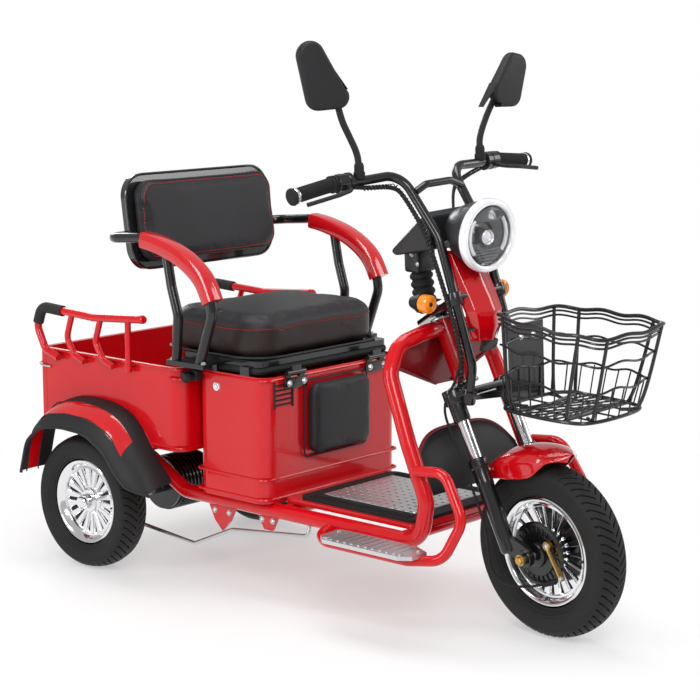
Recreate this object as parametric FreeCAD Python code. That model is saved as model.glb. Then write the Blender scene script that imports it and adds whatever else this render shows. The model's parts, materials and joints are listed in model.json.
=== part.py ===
import FreeCAD, Part
import math
import os
from FreeCAD import Vector as V

os.makedirs("parts", exist_ok=True)

# Electric leisure tricycle. Millimetres; +X forward, +Y left, +Z up.
# X is measured from the rear axle and moved by BOX_MIDDLE_X when a part is written.

# Driving dimensions
BOX_MIDDLE_X = 652.5
WHEELBASE = 1240.0
FORK_AT = 1240.0  # where the front axle lies while the front end is drawn
REAR_HALF_TRACK = 311.0
FRONT_TYRE_R = 205.0
FRONT_RIM_R = 131.0
REAR_TYRE_R = 174.0
REAR_RIM_R = 112.0
TYRE_W = 86.0
RAKE = 26.0
AXIS_X = 950.0
AXIS_Z = 620.0
REST_STEER = -8.0
FIT = 0.3
SHEET = 3.0

RAIL_Y = 210.0
RAIL_Z = 220.0
RAIL_REAR_Z = 292.0
RAIL_R = 19.0
BED_REAR = -186.0
BED_FRONT = 318.0
BED_HALF = 298.0
BED_TOP = 556.0
BED_FLOOR = 342.0
BOX_REAR = 326.0
BOX_FRONT = 563.0
BOX_HALF = 250.0
BOX_BOTTOM = RAIL_Z + RAIL_R + FIT
BOX_TOP = 552.0
FENDER_OUT = 392.0
LEG_AHEAD = 36.0
LEG_Y = 85.0
AXLE_Z = FRONT_TYRE_R
WELL_GAP = 28.0
WELL_SIDE_GAP = 16.0
ARCH_TYRE_R = 174.0  # tyre radius that the fender outline is drawn round
AHEAD_BY = WHEELBASE - FORK_AT

SIDES = (-1, 1)
X, Y, Z = V(1, 0, 0), V(0, 1, 0), V(0, 0, 1)
rake_rad = math.radians(RAKE)
AXIS = V(-math.sin(rake_rad), 0, math.cos(rake_rad))
AHEAD = V(math.cos(rake_rad), 0, math.sin(rake_rad))
AXIS_POINT = V(AXIS_X, 0, AXIS_Z)


# Shape helpers
def box(x0, x1, y0, y1, z0, z1):
    return Part.makeBox(x1 - x0, y1 - y0, z1 - z0, V(x0, y0, z0))


def cyl(start, end, radius):
    direction = V(*end) - V(*start)
    return Part.makeCylinder(radius, direction.Length, V(*start), direction)


def bent_path(points, bend):
    pts = [V(*p) for p in points]
    edges, last = [], pts[0]
    for before, corner, after in zip(pts, pts[1:], pts[2:]):
        u = (before - corner).normalize()
        w = (after - corner).normalize()
        half = u.getAngle(w) / 2
        if half > math.radians(89):
            continue
        room = 0.48 * min((before - corner).Length, (after - corner).Length)
        r = min(bend, room * math.tan(half))
        back = r / math.tan(half)
        start, end = corner + u * back, corner + w * back
        middle = (u + w).normalize()
        centre = corner + middle * (r / math.sin(half))
        if (start - last).Length > 0.01:
            edges.append(Part.makeLine(last, start))
        edges.append(Part.Arc(start, centre - middle * r, end).toShape())
        last = end
    edges.append(Part.makeLine(last, pts[-1]))
    return Part.Wire(edges)


def tube(points, radius, bend=40.0):
    path = bent_path(points, bend)
    start = V(*points[0])
    heading = V(*points[1]) - start
    ring = Part.Wire([Part.makeCircle(radius, start, heading)])
    return path.makePipeShell([ring], True, False)


def lying_ring(profile, centre):
    """Turn a list of (radius, y) points round the wheel's own axle."""
    points = [V(centre.x + r, centre.y + y, centre.z) for r, y in profile]
    face = Part.Face(Part.makePolygon(points + points[:1]))
    return face.revolve(centre, Y, 360)


def prism_y(outline, y0, y1):
    face = Part.Face(Part.makePolygon([V(x, y0, z) for x, z in outline + outline[:1]]))
    return face.extrude(V(0, y1 - y0, 0))


def prism_z(outline, z0, z1):
    face = Part.Face(Part.makePolygon([V(x, y, z0) for x, y in outline + outline[:1]]))
    return face.extrude(V(0, 0, z1 - z0))


def soften(shape, radius, pick):
    edges = [e for e in shape.Edges if pick(e)]
    return shape.makeFillet(radius, edges)


def upright(edge):
    a, b = edge.Vertexes[0].Point, edge.Vertexes[-1].Point
    return abs(a.x - b.x) < 0.1 and abs(a.y - b.y) < 0.1


def rounded_block(x0, x1, y0, y1, z0, z1, corner, edge=0.0):
    solid = soften(box(x0, x1, y0, y1, z0, z1), corner, upright)
    if edge:
        solid = soften(solid, edge, lambda e: not upright(e))
    return solid


def joined(shapes):
    out = shapes[0]
    return out.fuse(shapes[1:]).removeSplitter() if len(shapes) > 1 else out


def mirrored(shape):
    return shape.mirror(V(0, 0, 0), Y)


def both(shape):
    return [shape, mirrored(shape)]


def on_axis(up, ahead, y=0.0):
    """A point measured along the steering axis and straight ahead of it."""
    return AXIS_POINT + AXIS * up + AHEAD * ahead + Y * y


def ahead(points):
    """Points of the front end, which move with the wheelbase."""
    return [(p[0] + AHEAD_BY,) + tuple(p[1:]) for p in points]


def write(name, *solids, steered=False):
    placed = []
    for solid in solids:
        s = solid.copy()
        if steered:
            s.rotate(AXIS_POINT, AXIS, REST_STEER)
            s.translate(V(AHEAD_BY, 0, 0))
        s.translate(V(-BOX_MIDDLE_X, 0, 0))
        placed.append(s)
    shape = placed[0] if len(placed) == 1 else Part.makeCompound(placed)
    shape.exportStep("parts/" + name + ".step")


# Main frame tubes: two side rails that rise in front as loops to the head tube
HEAD_LOW, HEAD_HIGH, HEAD_R, SPINDLE_R = -62.0, 92.0, 27.0, 15.0
rail = tube([(-150, -RAIL_Y, RAIL_REAR_Z), (110, -RAIL_Y, RAIL_REAR_Z), (245, -RAIL_Y, RAIL_Z)]
            + ahead([(1016, -RAIL_Y, RAIL_Z), (1032, -RAIL_Y, 320), (974, -206, 446), (908, -195, 600),
                     (896, -150, 660), (925, -80, 686), (912, -4, 684)]), RAIL_R, 62)
head_ends = [on_axis(up, 0) + X * AHEAD_BY for up in (HEAD_LOW, HEAD_HIGH)]
head_tube = cyl(*head_ends, HEAD_R)
cross_rails = [cyl((x, -RAIL_Y, z), (x, RAIL_Y, z), 15)
               for x, z in ((-120, RAIL_REAR_Z), (285, RAIL_Z + 4), (590, RAIL_Z + 4), (960 + AHEAD_BY, RAIL_Z + 4))]
bearers = [box(x, x + 28, -226, 226, 300, BED_FLOOR - FIT) for x in (-146, 74)]
frame = joined(both(rail) + [head_tube] + cross_rails + bearers)
spindle_bore = cyl(head_ends[0] - AXIS * 9, head_ends[1] + AXIS * 9, SPINDLE_R + 1)
frame = frame.cut(spindle_bore)
write("frame_tubes", frame)

# Head gussets: the web between the loops and the ribs behind the head tube
WEB_X = 908.0 + AHEAD_BY
web = [(-96, 676), (-172, 632), (-186, 560), (186, 560), (172, 632), (96, 676)]
web = Part.Face(Part.makePolygon([V(WEB_X, y, z) for y, z in web + web[:1]])).extrude(X * 4)
ribs = [prism_y([(WEB_X - 40, 640), (WEB_X + 2, 590), (WEB_X + 3, 672)], y - 3, y + 3) for y in (-34, 34)]
gussets = joined([web] + ribs).cut(frame)
write("head_gussets", *[piece for piece in gussets.Solids if piece.Volume > 2000])

# Splash shield behind the front wheel
shield = prism_y(ahead([(952, 474), (992, 392), (1012, 322), (1008, 322), (988, 391), (948, 473)]), -198, 198)
shield = shield.cut(frame)
write("splash_shield", *[piece for piece in shield.Solids if piece.Volume > 2000])

# Crash loops and foot-rest tubes either side of the front wheel
LOOP_R, LOOP_Z = 12.5, 200.0
crash = tube(ahead([(1012, -226, 392), (1096, -226, 400), (1158, -238, 300), (1120, -262, 208),
                    (1040, -290, LOOP_Z)])
             + [(790, -290, LOOP_Z), (752, -262, 206), (748, -214, 212)], LOOP_R, 48)
write("crash_loops", *[loop.cut(frame) for loop in both(crash)])

# Floor pan and the mat with its tread plate
PAN_LOW = RAIL_Z + RAIL_R + FIT
PAN_FRONT = 984.0 + AHEAD_BY
pan = rounded_block(BOX_FRONT + FIT, PAN_FRONT, -189, 189, PAN_LOW, PAN_LOW + 12, 20)
pan_hollow = rounded_block(BOX_FRONT + 4, PAN_FRONT - 4, -185, 185, PAN_LOW - 1, PAN_LOW + 9, 18)
pan_ribs = [box(x - 14, x + 14, -186, 186, PAN_LOW, PAN_LOW + 10) for x in (BOX_FRONT + 27, PAN_FRONT - 34)]
write("floor_pan", joined([pan.cut(pan_hollow)] + pan_ribs))
MAT_BASE = PAN_LOW + 12
write("floor_mat", rounded_block(BOX_FRONT + 41, PAN_FRONT - 10, -178, 178, MAT_BASE, MAT_BASE + 8, 24))

# Step plates outside the rails
step = prism_z([(800, -242)] + ahead([(1030, -242), (1078, -266), (1078, -318), (1050, -338)])
               + [(826, -338), (796, -310)], LOOP_Z + LOOP_R + FIT, LOOP_Z + 22)
write("step_plates", *both(step))

# Seat box, open at the top under the seat
shell = rounded_block(BOX_REAR, BOX_FRONT, -BOX_HALF, BOX_HALF, BOX_BOTTOM, BOX_TOP, 38)
hollow = rounded_block(BOX_REAR + SHEET, BOX_FRONT - SHEET, -BOX_HALF + SHEET, BOX_HALF - SHEET,
                       BOX_BOTTOM + SHEET, BOX_TOP + 1, 38 - SHEET)
write("seat_box", shell.cut(hollow))
battery = rounded_block(BOX_REAR + 24, BOX_FRONT - 23, -170, 170, BOX_BOTTOM + SHEET, BOX_BOTTOM + SHEET + 170, 8)
write("battery_pack", battery)

# Calf pad on the front of the seat box
CALF_T = 38.0
pad_front = box(BOX_FRONT + FIT, BOX_FRONT + CALF_T, -118, 118, 338, 532)
pad_front = soften(pad_front, 36, lambda e: abs(e.Vertexes[0].Point.x - e.Vertexes[-1].Point.x) > 20)
pad_front = soften(pad_front, 14, lambda e: e.BoundBox.XMin > BOX_FRONT + CALF_T - 1)
write("calf_pad", pad_front)

# Cargo bed: a pressed tub with wells over the wheels, open at the tailgate
WELL_R = REAR_TYRE_R + WELL_GAP
WELL_IN = REAR_HALF_TRACK - TYRE_W / 2 - WELL_SIDE_GAP
WELL_OUT = BED_HALF + 32
outer = rounded_block(BED_REAR, BED_FRONT, -BED_HALF, BED_HALF, BED_FLOOR, BED_TOP, 34)
outer = outer.fuse(box(BED_REAR, 0, -BED_HALF, BED_HALF, BED_FLOOR, BED_TOP)).removeSplitter()
inner = rounded_block(BED_REAR - 90, BED_FRONT - SHEET, -BED_HALF + SHEET, BED_HALF - SHEET,
                      BED_FLOOR + SHEET, BED_TOP + 1, 34 - SHEET)
for side in SIDES:
    outer = outer.cut(cyl((0, side * WELL_IN, REAR_TYRE_R), (0, side * WELL_OUT, REAR_TYRE_R), WELL_R))
    inner = inner.cut(cyl((0, side * (WELL_IN - SHEET), REAR_TYRE_R), (0, side * WELL_OUT, REAR_TYRE_R),
                          WELL_R + SHEET))
tub = outer.cut(inner)
lip_out = rounded_block(BED_REAR, BED_FRONT + 5, -BED_HALF - 5, BED_HALF + 5, BED_TOP - 7, BED_TOP, 39)
lip_in = rounded_block(BED_REAR - 90, BED_FRONT - SHEET, -BED_HALF + SHEET, BED_HALF - SHEET,
                       BED_TOP - 8, BED_TOP + 1, 34 - SHEET)
lip = lip_out.fuse(box(BED_REAR, 0, -BED_HALF - 5, BED_HALF + 5, BED_TOP - 7, BED_TOP)).cut(lip_in)
tub = tub.fuse(lip).removeSplitter()
write("cargo_bed", tub)

# Tailgate across the open rear of the bed
GATE_T = 16.0
gate_low = BED_FLOOR + 6
gate = soften(box(BED_REAR - GATE_T - 1, BED_REAR - 1, -BED_HALF, BED_HALF, gate_low, BED_TOP), 10,
              lambda e: abs(e.Vertexes[0].Point.x - e.Vertexes[-1].Point.x) > 10)
GATE_HINGE_X, GATE_HINGE_Z, GATE_HINGE_R = BED_REAR - 9, BED_FLOOR - 6, 6.0
barrels, leaves = [], []
for y in (-190, 190):
    barrels.append(cyl((GATE_HINGE_X, y - 20, GATE_HINGE_Z), (GATE_HINGE_X, y + 20, GATE_HINGE_Z),
                       GATE_HINGE_R))
    barrels.append(box(GATE_HINGE_X - 3, GATE_HINGE_X + 3, y - 20, y + 20, GATE_HINGE_Z, gate_low + 2))
    for y0 in (y - 41.4, y + 20.4):
        knuckle = cyl((GATE_HINGE_X, y0, GATE_HINGE_Z), (GATE_HINGE_X, y0 + 21, GATE_HINGE_Z),
                      GATE_HINGE_R)
        plate = box(GATE_HINGE_X, BED_REAR + 30, y0, y0 + 21, BED_FLOOR - 6, BED_FLOOR)
        leaves.append(joined([knuckle, plate]))
write("tailgate", joined([gate] + barrels))
write("tailgate_hinges", *leaves)

# Bed rails: a top tube each side on hooked posts, with a straight post in front
HOOP_Y = BED_HALF + 15
top_tube = tube([(-118, -HOOP_Y, 536), (-170, -HOOP_Y, 552), (-200, -HOOP_Y, 610), (-180, -HOOP_Y, 664),
                 (20, -HOOP_Y, 655), (206, -HOOP_Y, 668)], 10, 34)
posts = [tube([(x, -HOOP_Y, 655), (x - 22, -HOOP_Y, 592), (x + 6, -HOOP_Y, 550), (x + 44, -HOOP_Y, 536)], 8, 30)
         for x in (-62, 48)]
posts.append(cyl((150, -HOOP_Y, 528), (150, -HOOP_Y, 662), 8))
feet = [cyl((x, -BED_HALF - FIT, 537), (x, -HOOP_Y, 537), 7) for x in (-122, -24, 86, 150)]
rails = both(joined([top_tube] + posts + feet))
write("bed_rails", *rails)

# Foam sleeves on the rear corners of the rails
sleeve = tube([(-196, -HOOP_Y, 622), (-180, -HOOP_Y, 664), (-96, -HOOP_Y, 660)], 14, 34)
write("rail_sleeves", *[cover.cut(core) for cover, core in zip(both(sleeve), rails)])

# Rear fenders: a flared arch each side, with a red band over the crown
ARCH = [  # x at the bed side, x at the lip, z at the bed side, z at the lip
    (-176, -190, 236, 232), (-150, -164, 372, 318), (-96, -110, 432, 362), (-20, -30, 446, 372),
    (70, 62, 444, 368), (150, 134, 424, 330), (196, 178, 372, 280), (232, 214, 316, 252),
    (300, 300, 262, 246)]


def off_tyre(x, z):
    """A point of the outline kept as far off the tyre as it is drawn."""
    out = V(x, 0, z - ARCH_TYRE_R)
    return V(0, 0, REAR_TYRE_R) + out * (1 + (REAR_TYRE_R - ARCH_TYRE_R) / out.Length)


def arch_wire(y, part):
    top = [off_tyre(a + (b - a) * part, c + (d - c) * part) + Y * y for a, b, c, d in ARCH]
    middle = V(40, y, 200)
    low = [p + (middle - p).normalize() * SHEET for p in reversed(top)]
    return Part.makePolygon(top + low + top[:1])


def fender(side):
    stations = ((BED_HALF + FIT, 0.0), (FENDER_OUT - 40, 0.25), (FENDER_OUT, 1.0))
    return Part.makeLoft([arch_wire(side * y, part) for y, part in stations], True, True)


write("rear_fenders", *[fender(s) for s in SIDES])

# Rear axle: motor and gear housing, tubes, drums and stub axles
axle_parts = [cyl((0, -66, REAR_TYRE_R), (0, 66, REAR_TYRE_R), 70),
              cyl((0, -236, REAR_TYRE_R), (0, 236, REAR_TYRE_R), 24),
              cyl((0, -REAR_HALF_TRACK - 30, REAR_TYRE_R), (0, REAR_HALF_TRACK + 30, REAR_TYRE_R), 9)]
axle_parts += [cyl((0, s * 222, REAR_TYRE_R), (0, s * 262, REAR_TYRE_R), 66) for s in SIDES]
write("rear_axle", joined(axle_parts))

# Rear springs between the axle tube and the rails
springs = [cyl((0, s * RAIL_Y * 0.92, REAR_TYRE_R + 24 + FIT), (0, s * RAIL_Y * 0.92, RAIL_REAR_Z - 12), 24)
           for s in SIDES]
springs = [s.cut(joined(both(rail))) for s in springs]
write("rear_springs", *springs)

# Brackets under the side rails
BRACKETS = [  # outline in x and z, under the rail
    [(330, 204), (424, 204), (404, 166), (378, 138), (352, 162)],
    [(500, 204), (568, 204), (550, 168), (522, 168)]]
brackets = [prism_y(outline, -RAIL_Y - 4, -RAIL_Y + 4).cut(rail) for outline in BRACKETS]
write("frame_brackets", *[b for bracket in brackets for b in both(bracket)])

# Foot brake: pedal rod, under-floor brackets and the pull rods to the drums
rod = tube([(60, -236, REAR_TYRE_R - 56), (300, -236, REAR_TYRE_R - 78), (420, -222, 150), (676, -222, 178), (676, -216, 201)], 5, 24)
write("brake_rod", rod)


# Wheels
def tyre(centre, tyre_r, rim_r):
    half = TYRE_W / 2
    wall = tyre_r - rim_r
    profile = [(rim_r, -half * 0.66), (rim_r + wall * 0.18, -half * 0.86), (rim_r + wall * 0.5, -half),
               (rim_r + wall * 0.82, -half * 0.88), (tyre_r - 2, -half * 0.5), (tyre_r, 0),
               (tyre_r - 2, half * 0.5), (rim_r + wall * 0.82, half * 0.88), (rim_r + wall * 0.5, half),
               (rim_r + wall * 0.18, half * 0.86), (rim_r, half * 0.66)]
    return lying_ring(profile, centre)


def rim(centre, rim_r, bore, hub_r, hub_out, hub_in, face_y, side):
    half = TYRE_W / 2 * 0.66
    r = rim_r - FIT
    outline = [(bore, hub_in), (hub_r, hub_in), (hub_r, face_y - 6), (r - 16, face_y - 10), (r - 12, -half),
               (r, -half), (r, half), (r - 5, half), (r - 12, face_y + 8), (hub_r * 0.9, face_y + 4),
               (hub_r * 0.8, hub_out), (bore, hub_out)]
    return lying_ring([(a, side * b) for a, b in outline], centre)


front_hub = V(FORK_AT, 0, FRONT_TYRE_R)
AXLE_R = 8.0
front_tyre = tyre(front_hub, FRONT_TYRE_R, FRONT_RIM_R)
front_rim = rim(front_hub, FRONT_RIM_R, AXLE_R + FIT, 44, 30, -34, 6, 1)
write("front_tyre", front_tyre, steered=True)
write("front_rim", front_rim, steered=True)
for side, name in ((-1, "right"), (1, "left")):
    hub = V(0, side * REAR_HALF_TRACK, REAR_TYRE_R)
    write("rear_tyre_" + name, tyre(hub, REAR_TYRE_R, REAR_RIM_R))
    write("rear_rim_" + name, rim(hub, REAR_RIM_R, 9 + FIT, 30, 44, -38, 8, side))

# Fork: crown, spindle and the two telescopic legs
spindle = cyl(on_axis(HEAD_LOW - 50, 0), on_axis(HEAD_HIGH + 36, 0), SPINDLE_R)
bar_half = [(1056, -70, 544), (1073, -70, 625), (978, -71, 915), (868, -82, 1056), (856, -175, 1052),
            (836, -270, 1050), (830, -373, 1036)]
BAR_R = 11.0
bars = both(tube(bar_half, BAR_R, 60))
crown = rounded_block(-30, 66, -108, 108, 0, 26, 20)
crown.rotate(V(0, 0, 0), Y, -RAKE)
crown.translate(on_axis(-108, 0))
top_clamp = rounded_block(-64, 148, -88, 88, 0, 20, 18)
top_clamp.rotate(V(0, 0, 0), Y, -RAKE)
top_clamp.translate(on_axis(102, 0))
write("fork_crown", joined([spindle, crown, top_clamp]).cut(bars), steered=True)
legs = []
for s in SIDES:
    upper = cyl(on_axis(-108, LEG_AHEAD, s * LEG_Y), on_axis(-250, LEG_AHEAD, s * LEG_Y), 14)
    slider = cyl(on_axis(-190, LEG_AHEAD, s * LEG_Y), on_axis(-478, LEG_AHEAD, s * LEG_Y), 19)
    web = [on_axis(up, ahead) for up, ahead in ((-430, LEG_AHEAD + 4), (-488, 96), (-512, 64),
                                                (-476, LEG_AHEAD - 6))]
    web = prism_y([(q.x, q.z) for q in web], s * LEG_Y - 7, s * LEG_Y + 7)
    boss = cyl((FORK_AT, s * LEG_Y - 9, AXLE_Z), (FORK_AT, s * LEG_Y + 9, AXLE_Z), 18)
    lug = joined([boss, web])
    lug = lug.cut(cyl((FORK_AT, -120, AXLE_Z), (FORK_AT, 120, AXLE_Z), 8 + FIT))
    legs.append(joined([upper, slider, lug]))
write("fork_legs", *legs, steered=True)
front_axle = cyl((FORK_AT, -112, AXLE_Z), (FORK_AT, 112, AXLE_Z), AXLE_R)

write("front_axle", front_axle, steered=True)

# Front drum brake: backing plate with its lever arm
brake_plate = cyl((FORK_AT, -41, AXLE_Z), (FORK_AT, -49, AXLE_Z), 76)
brake_arm = box(FORK_AT + 30, FORK_AT + 46, -58, -48, AXLE_Z - 66, AXLE_Z + 10)
front_brake = joined([brake_plate, brake_arm]).cut(front_axle)
write("front_brake", front_brake, steered=True)

# Handlebar: twin risers that bend back and out to the grips, and the brace between them
brace = tube([(908, -74, 1016), (908, -40, 1030), (908, 40, 1030), (908, 74, 1016)], 9, 30)
write("handlebar", joined(bars + [brace]), steered=True)
grips = [cyl((836.3, s * 264, 1050.8), (829.8, s * 376, 1035.6), 16).cut(bars[(s + 1) // 2])
         for s in SIDES]
write("grips", *grips, steered=True)

# Hand controls: switch housings and brake levers
controls = []
for s in SIDES:
    housing = cyl((843, s * 214, 1051.6), (836.5, s * 262, 1051), 20)
    lever = tube([(846, s * 236, 1046), (884, s * 244, 1040), (892, s * 290, 1034), (874, s * 372, 1020)], 5, 22)
    controls.append(joined([housing, lever]).cut(bars[(s + 1) // 2]))
write("controls", *controls, steered=True)

# Mirrors: stems and heads
MIRRORS = [  # side, stem foot, stem top, head middle
    (-1, (858, -178, 1060), (838, -256, 1250), (834, -282, 1302)),
    (1, (860, 150, 1062), (851, 272, 1190), (849, 300, 1237))]
MIRROR_YAW = 20.0
mirrors = []
for s, foot, top, middle in MIRRORS:
    shoulder = (foot[0] - 8, foot[1] + (top[1] - foot[1]) * 0.6, foot[2] + (top[2] - foot[2]) * 0.7)
    stem = tube([foot, (foot[0], foot[1], foot[2] + 26), shoulder, top, middle], 6, 30)
    kite = Part.makePolygon([V(0, s * y, z) for y, z in ((-10, -48), (-36, 34), (36, 44), (-10, -48))])
    head = Part.Face(kite.makeOffset2D(40)).extrude(V(20, 0, 0))
    head = soften(head, 11, lambda e: e.BoundBox.XMin > 19)
    head.rotate(V(0, 0, 0), X, s * -14)
    head.rotate(V(0, 0, 0), Z, s * MIRROR_YAW)
    head.translate(V(*middle))
    mirrors.append(joined([head, stem]).cut(bars))
write("mirrors", *mirrors, steered=True)

# Headlamp: bucket, ring and lens, tipped slightly up
lamp = V(1064, 0, 918)
LAMP_R = 86.0
facing = V(math.cos(math.radians(4)), 0, -math.sin(math.radians(4)))
bucket = Part.makeCone(42, LAMP_R - 6, 96, lamp - facing * 104, facing)
ears = [cyl((1004, s * 40, 906), (984, s * 68, 896), 8) for s in SIDES]
write("lamp_bucket", joined([bucket] + ears).cut(bars), steered=True)
ring = Part.makeCylinder(LAMP_R, 20, lamp - facing * (8 - FIT), facing)
ring = ring.cut(Part.makeCylinder(LAMP_R - 16, 30, lamp - facing * 9, facing))
write("lamp_ring", ring, steered=True)
lens = Part.makeCylinder(LAMP_R - 16 - FIT, 10, lamp - facing * (8 - FIT), facing)
write("lamp_lens", lens, steered=True)

# Front panel: tapered shield between the risers, under the lamp
PANEL = [(988, 56, 882), (1028, 56, 812), (1068, 54, 744), (1060, 27, 672)]  # x, half width, z
PANEL_DEEP, PANEL_T = 30.0, 5.0
wires = []
for x, half, z in PANEL:
    front = [(x - PANEL_DEEP, -half), (x, -half * 0.66), (x + 9, 0), (x, half * 0.66), (x - PANEL_DEEP, half)]
    rear = [(px - PANEL_T, py * 0.94) for px, py in reversed(front)]
    wires.append(Part.makePolygon([V(px, py, z) for px, py in front + rear + front[:1]]))
stays = [cyl((x0, s * 70, z), (x1, s * y1, z), 6) for s in SIDES
         for x0, x1, y1, z in ((1016, 1010, 50, 800), (1046, 1044, 44, 706))]
bucket_room = Part.makeCone(46, LAMP_R - 2, 100, lamp - facing * 106, facing)
panel = Part.makeLoft(wires, True, True).cut(bucket_room).cut(top_clamp)
write("front_panel", joined([panel] + stays).cut(bars), steered=True)

# Dash: wedge-shaped display on its housing, behind the lamp
wedge = prism_y([(808, 872), (820, 857), (938, 880), (950, 962), (932, 972)], -66, 66)
dash_box = soften(box(812, 860, -30, 30, 812, 876), 8, upright)
write("dash", joined([wedge, dash_box]).cut(joined(bars + [brace])), steered=True)

# Ribbed boot between the dash housing and the top clamp
BOOT_LOW, BOOT_HIGH, BOOT_RIBS = V(853, 0, 717), V(838, 0, 812 - FIT), 5
boot_axis = BOOT_HIGH - BOOT_LOW
pitch = boot_axis.Length / BOOT_RIBS
profile = [V(0, 0, 0), V(23, 0, 0)]
for n in range(BOOT_RIBS):
    profile += [V(28, 0, (n + 0.35) * pitch), V(28, 0, (n + 0.65) * pitch), V(23, 0, (n + 1) * pitch)]
profile.append(V(0, 0, boot_axis.Length))
boot = Part.Face(Part.makePolygon(profile + profile[:1])).revolve(V(0, 0, 0), Z, 360)
boot.Placement = FreeCAD.Placement(BOOT_LOW, FreeCAD.Rotation(Z, boot_axis))
write("steering_boot", boot.cut(top_clamp).cut(dash_box), steered=True)

# Turn signals either side of the panel
SIGNAL_X, SIGNAL_Y, SIGNAL_Z = 996.0, 120.0, 768.0
housings, lenses = [], []
for s in SIDES:
    bullet = Part.makeCone(14, 24, 34, V(SIGNAL_X - 61, s * SIGNAL_Y, SIGNAL_Z), X)
    stalk = tube([(SIGNAL_X - 44, s * (SIGNAL_Y - 8), SIGNAL_Z), (SIGNAL_X - 40, s * 82, SIGNAL_Z),
                  (1020, s * 74, SIGNAL_Z)], 6, 12)
    housings.append(joined([bullet, stalk]).cut(bars + [top_clamp]))
    lenses.append(cyl((SIGNAL_X - 27 + FIT, s * SIGNAL_Y, SIGNAL_Z), (SIGNAL_X, s * SIGNAL_Y, SIGNAL_Z), 22))
write("signal_housings", *housings, steered=True)
write("signal_lenses", *lenses, steered=True)

# Front fender over the wheel
FENDER_R = FRONT_TYRE_R + 26


def arch_point(radius, degrees, y):
    a = math.radians(degrees)
    return V(FORK_AT + radius * math.cos(a), y, AXLE_Z + radius * math.sin(a))


HOOD = [  # wheel angle, half width, skirt depth
    (50, 26, 10), (58, 46, 18), (72, 58, 26), (92, 60, 34), (112, 60, 44), (124, 60, 46), (134, 54, 34)]
sections = []
for degrees, half, skirt in HOOD:
    ring_pts = [(-skirt, -half), (0, -half * 0.72), (6, 0), (0, half * 0.72), (-skirt, half),
                (-skirt - 1, half - 4), (-3, half * 0.7 - 3), (2, 0), (-3, 3 - half * 0.7), (-skirt - 1, 4 - half)]
    ring_pts = [arch_point(FENDER_R + up, degrees, y) for up, y in ring_pts]
    sections.append(Part.makePolygon(ring_pts + ring_pts[:1]))
bosses = [cyl((1105, s * 36, 385), (1105, s * 74, 385), 9) for s in SIDES]
hood = joined([Part.makeLoft(sections, True, True)] + bosses).cut(legs)
hood = hood.cut(Part.makeCylinder(FRONT_TYRE_R + 6, 108, V(FORK_AT, -54, AXLE_Z), Y))
write("front_fender", hood, steered=True)

# Basket: open tub of flat wires, on its back plate and bracket
BASKET_REAR, BASKET_FRONT, BASKET_TOP, BASKET_LOW = 1180.0, 1507.0, 760.0, 552.0
WIRE = 5.0


def basket_wire(z, grow):
    k = (z - BASKET_LOW) / (BASKET_TOP - BASKET_LOW)
    front = BASKET_FRONT - 58 * (1 - k) + grow
    rear = BASKET_REAR - grow
    side, back, nose = 114 + 20 * k + grow, 80 + 8 * k + grow, 84 + 12 * k + grow
    pts = [(rear, -back), (rear + 38, -side), (front - 54, -side), (front, -nose), (front, nose),
           (front - 54, side), (rear + 38, side), (rear, back)]
    return Part.makePolygon([V(x, y, z) for x, y in pts + pts[:1]])


tray = Part.makeLoft([basket_wire(BASKET_LOW, 0), basket_wire(BASKET_TOP, 0)], True, True)
tray_in = Part.makeLoft([basket_wire(BASKET_LOW + WIRE, -WIRE), basket_wire(BASKET_TOP + 1, -WIRE)], True, True)
tray = tray.cut(tray_in)
LEVELS = 7
rise = (BASKET_TOP - BASKET_LOW - 10) / LEVELS
rings = [box(1100, 1600, -200, 200, BASKET_LOW + n * rise, BASKET_LOW + n * rise + (10 if n == LEVELS else WIRE))
         for n in range(LEVELS + 1)]
bars_x = [box(x, x + WIRE, -200, 200, BASKET_LOW - 1, BASKET_TOP) for x in range(1218, 1500, 47)]
bars_y = [box(1100, 1600, y, y + WIRE, BASKET_LOW - 1, BASKET_TOP) for y in range(-84, 100, 41)]
floor_cut = box(1100, 1600, -200, 200, BASKET_LOW - 1, BASKET_LOW + WIRE)
walls = tray.cut(floor_cut).common(joined(rings[1:]))
basket = joined([walls, tray.common(joined(bars_x)), tray.common(joined(bars_y))])
write("basket", basket, steered=True)
plate = box(BASKET_REAR - 9, BASKET_REAR - FIT, -54, 54, 552, 728)
arm = prism_y([(1034, 546), (BASKET_REAR - 8, 578), (BASKET_REAR - 8, 564), (1040, 533)], -28, 28)
write("basket_bracket", joined([plate, arm]).cut(crown), steered=True)

# Front brake cable: down the right leg and round to the brake arm
cable = tube([(1018, -112, 512), (1062, -112, 430), (1148, -112, 256), (1150, -108, 150), (1196, -76, 96),
              (1262, -62, 104), (1278, -60, 142)], 3, 40)
write("brake_cable", cable.cut(joined([crown, front_brake] + legs)), steered=True)

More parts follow.
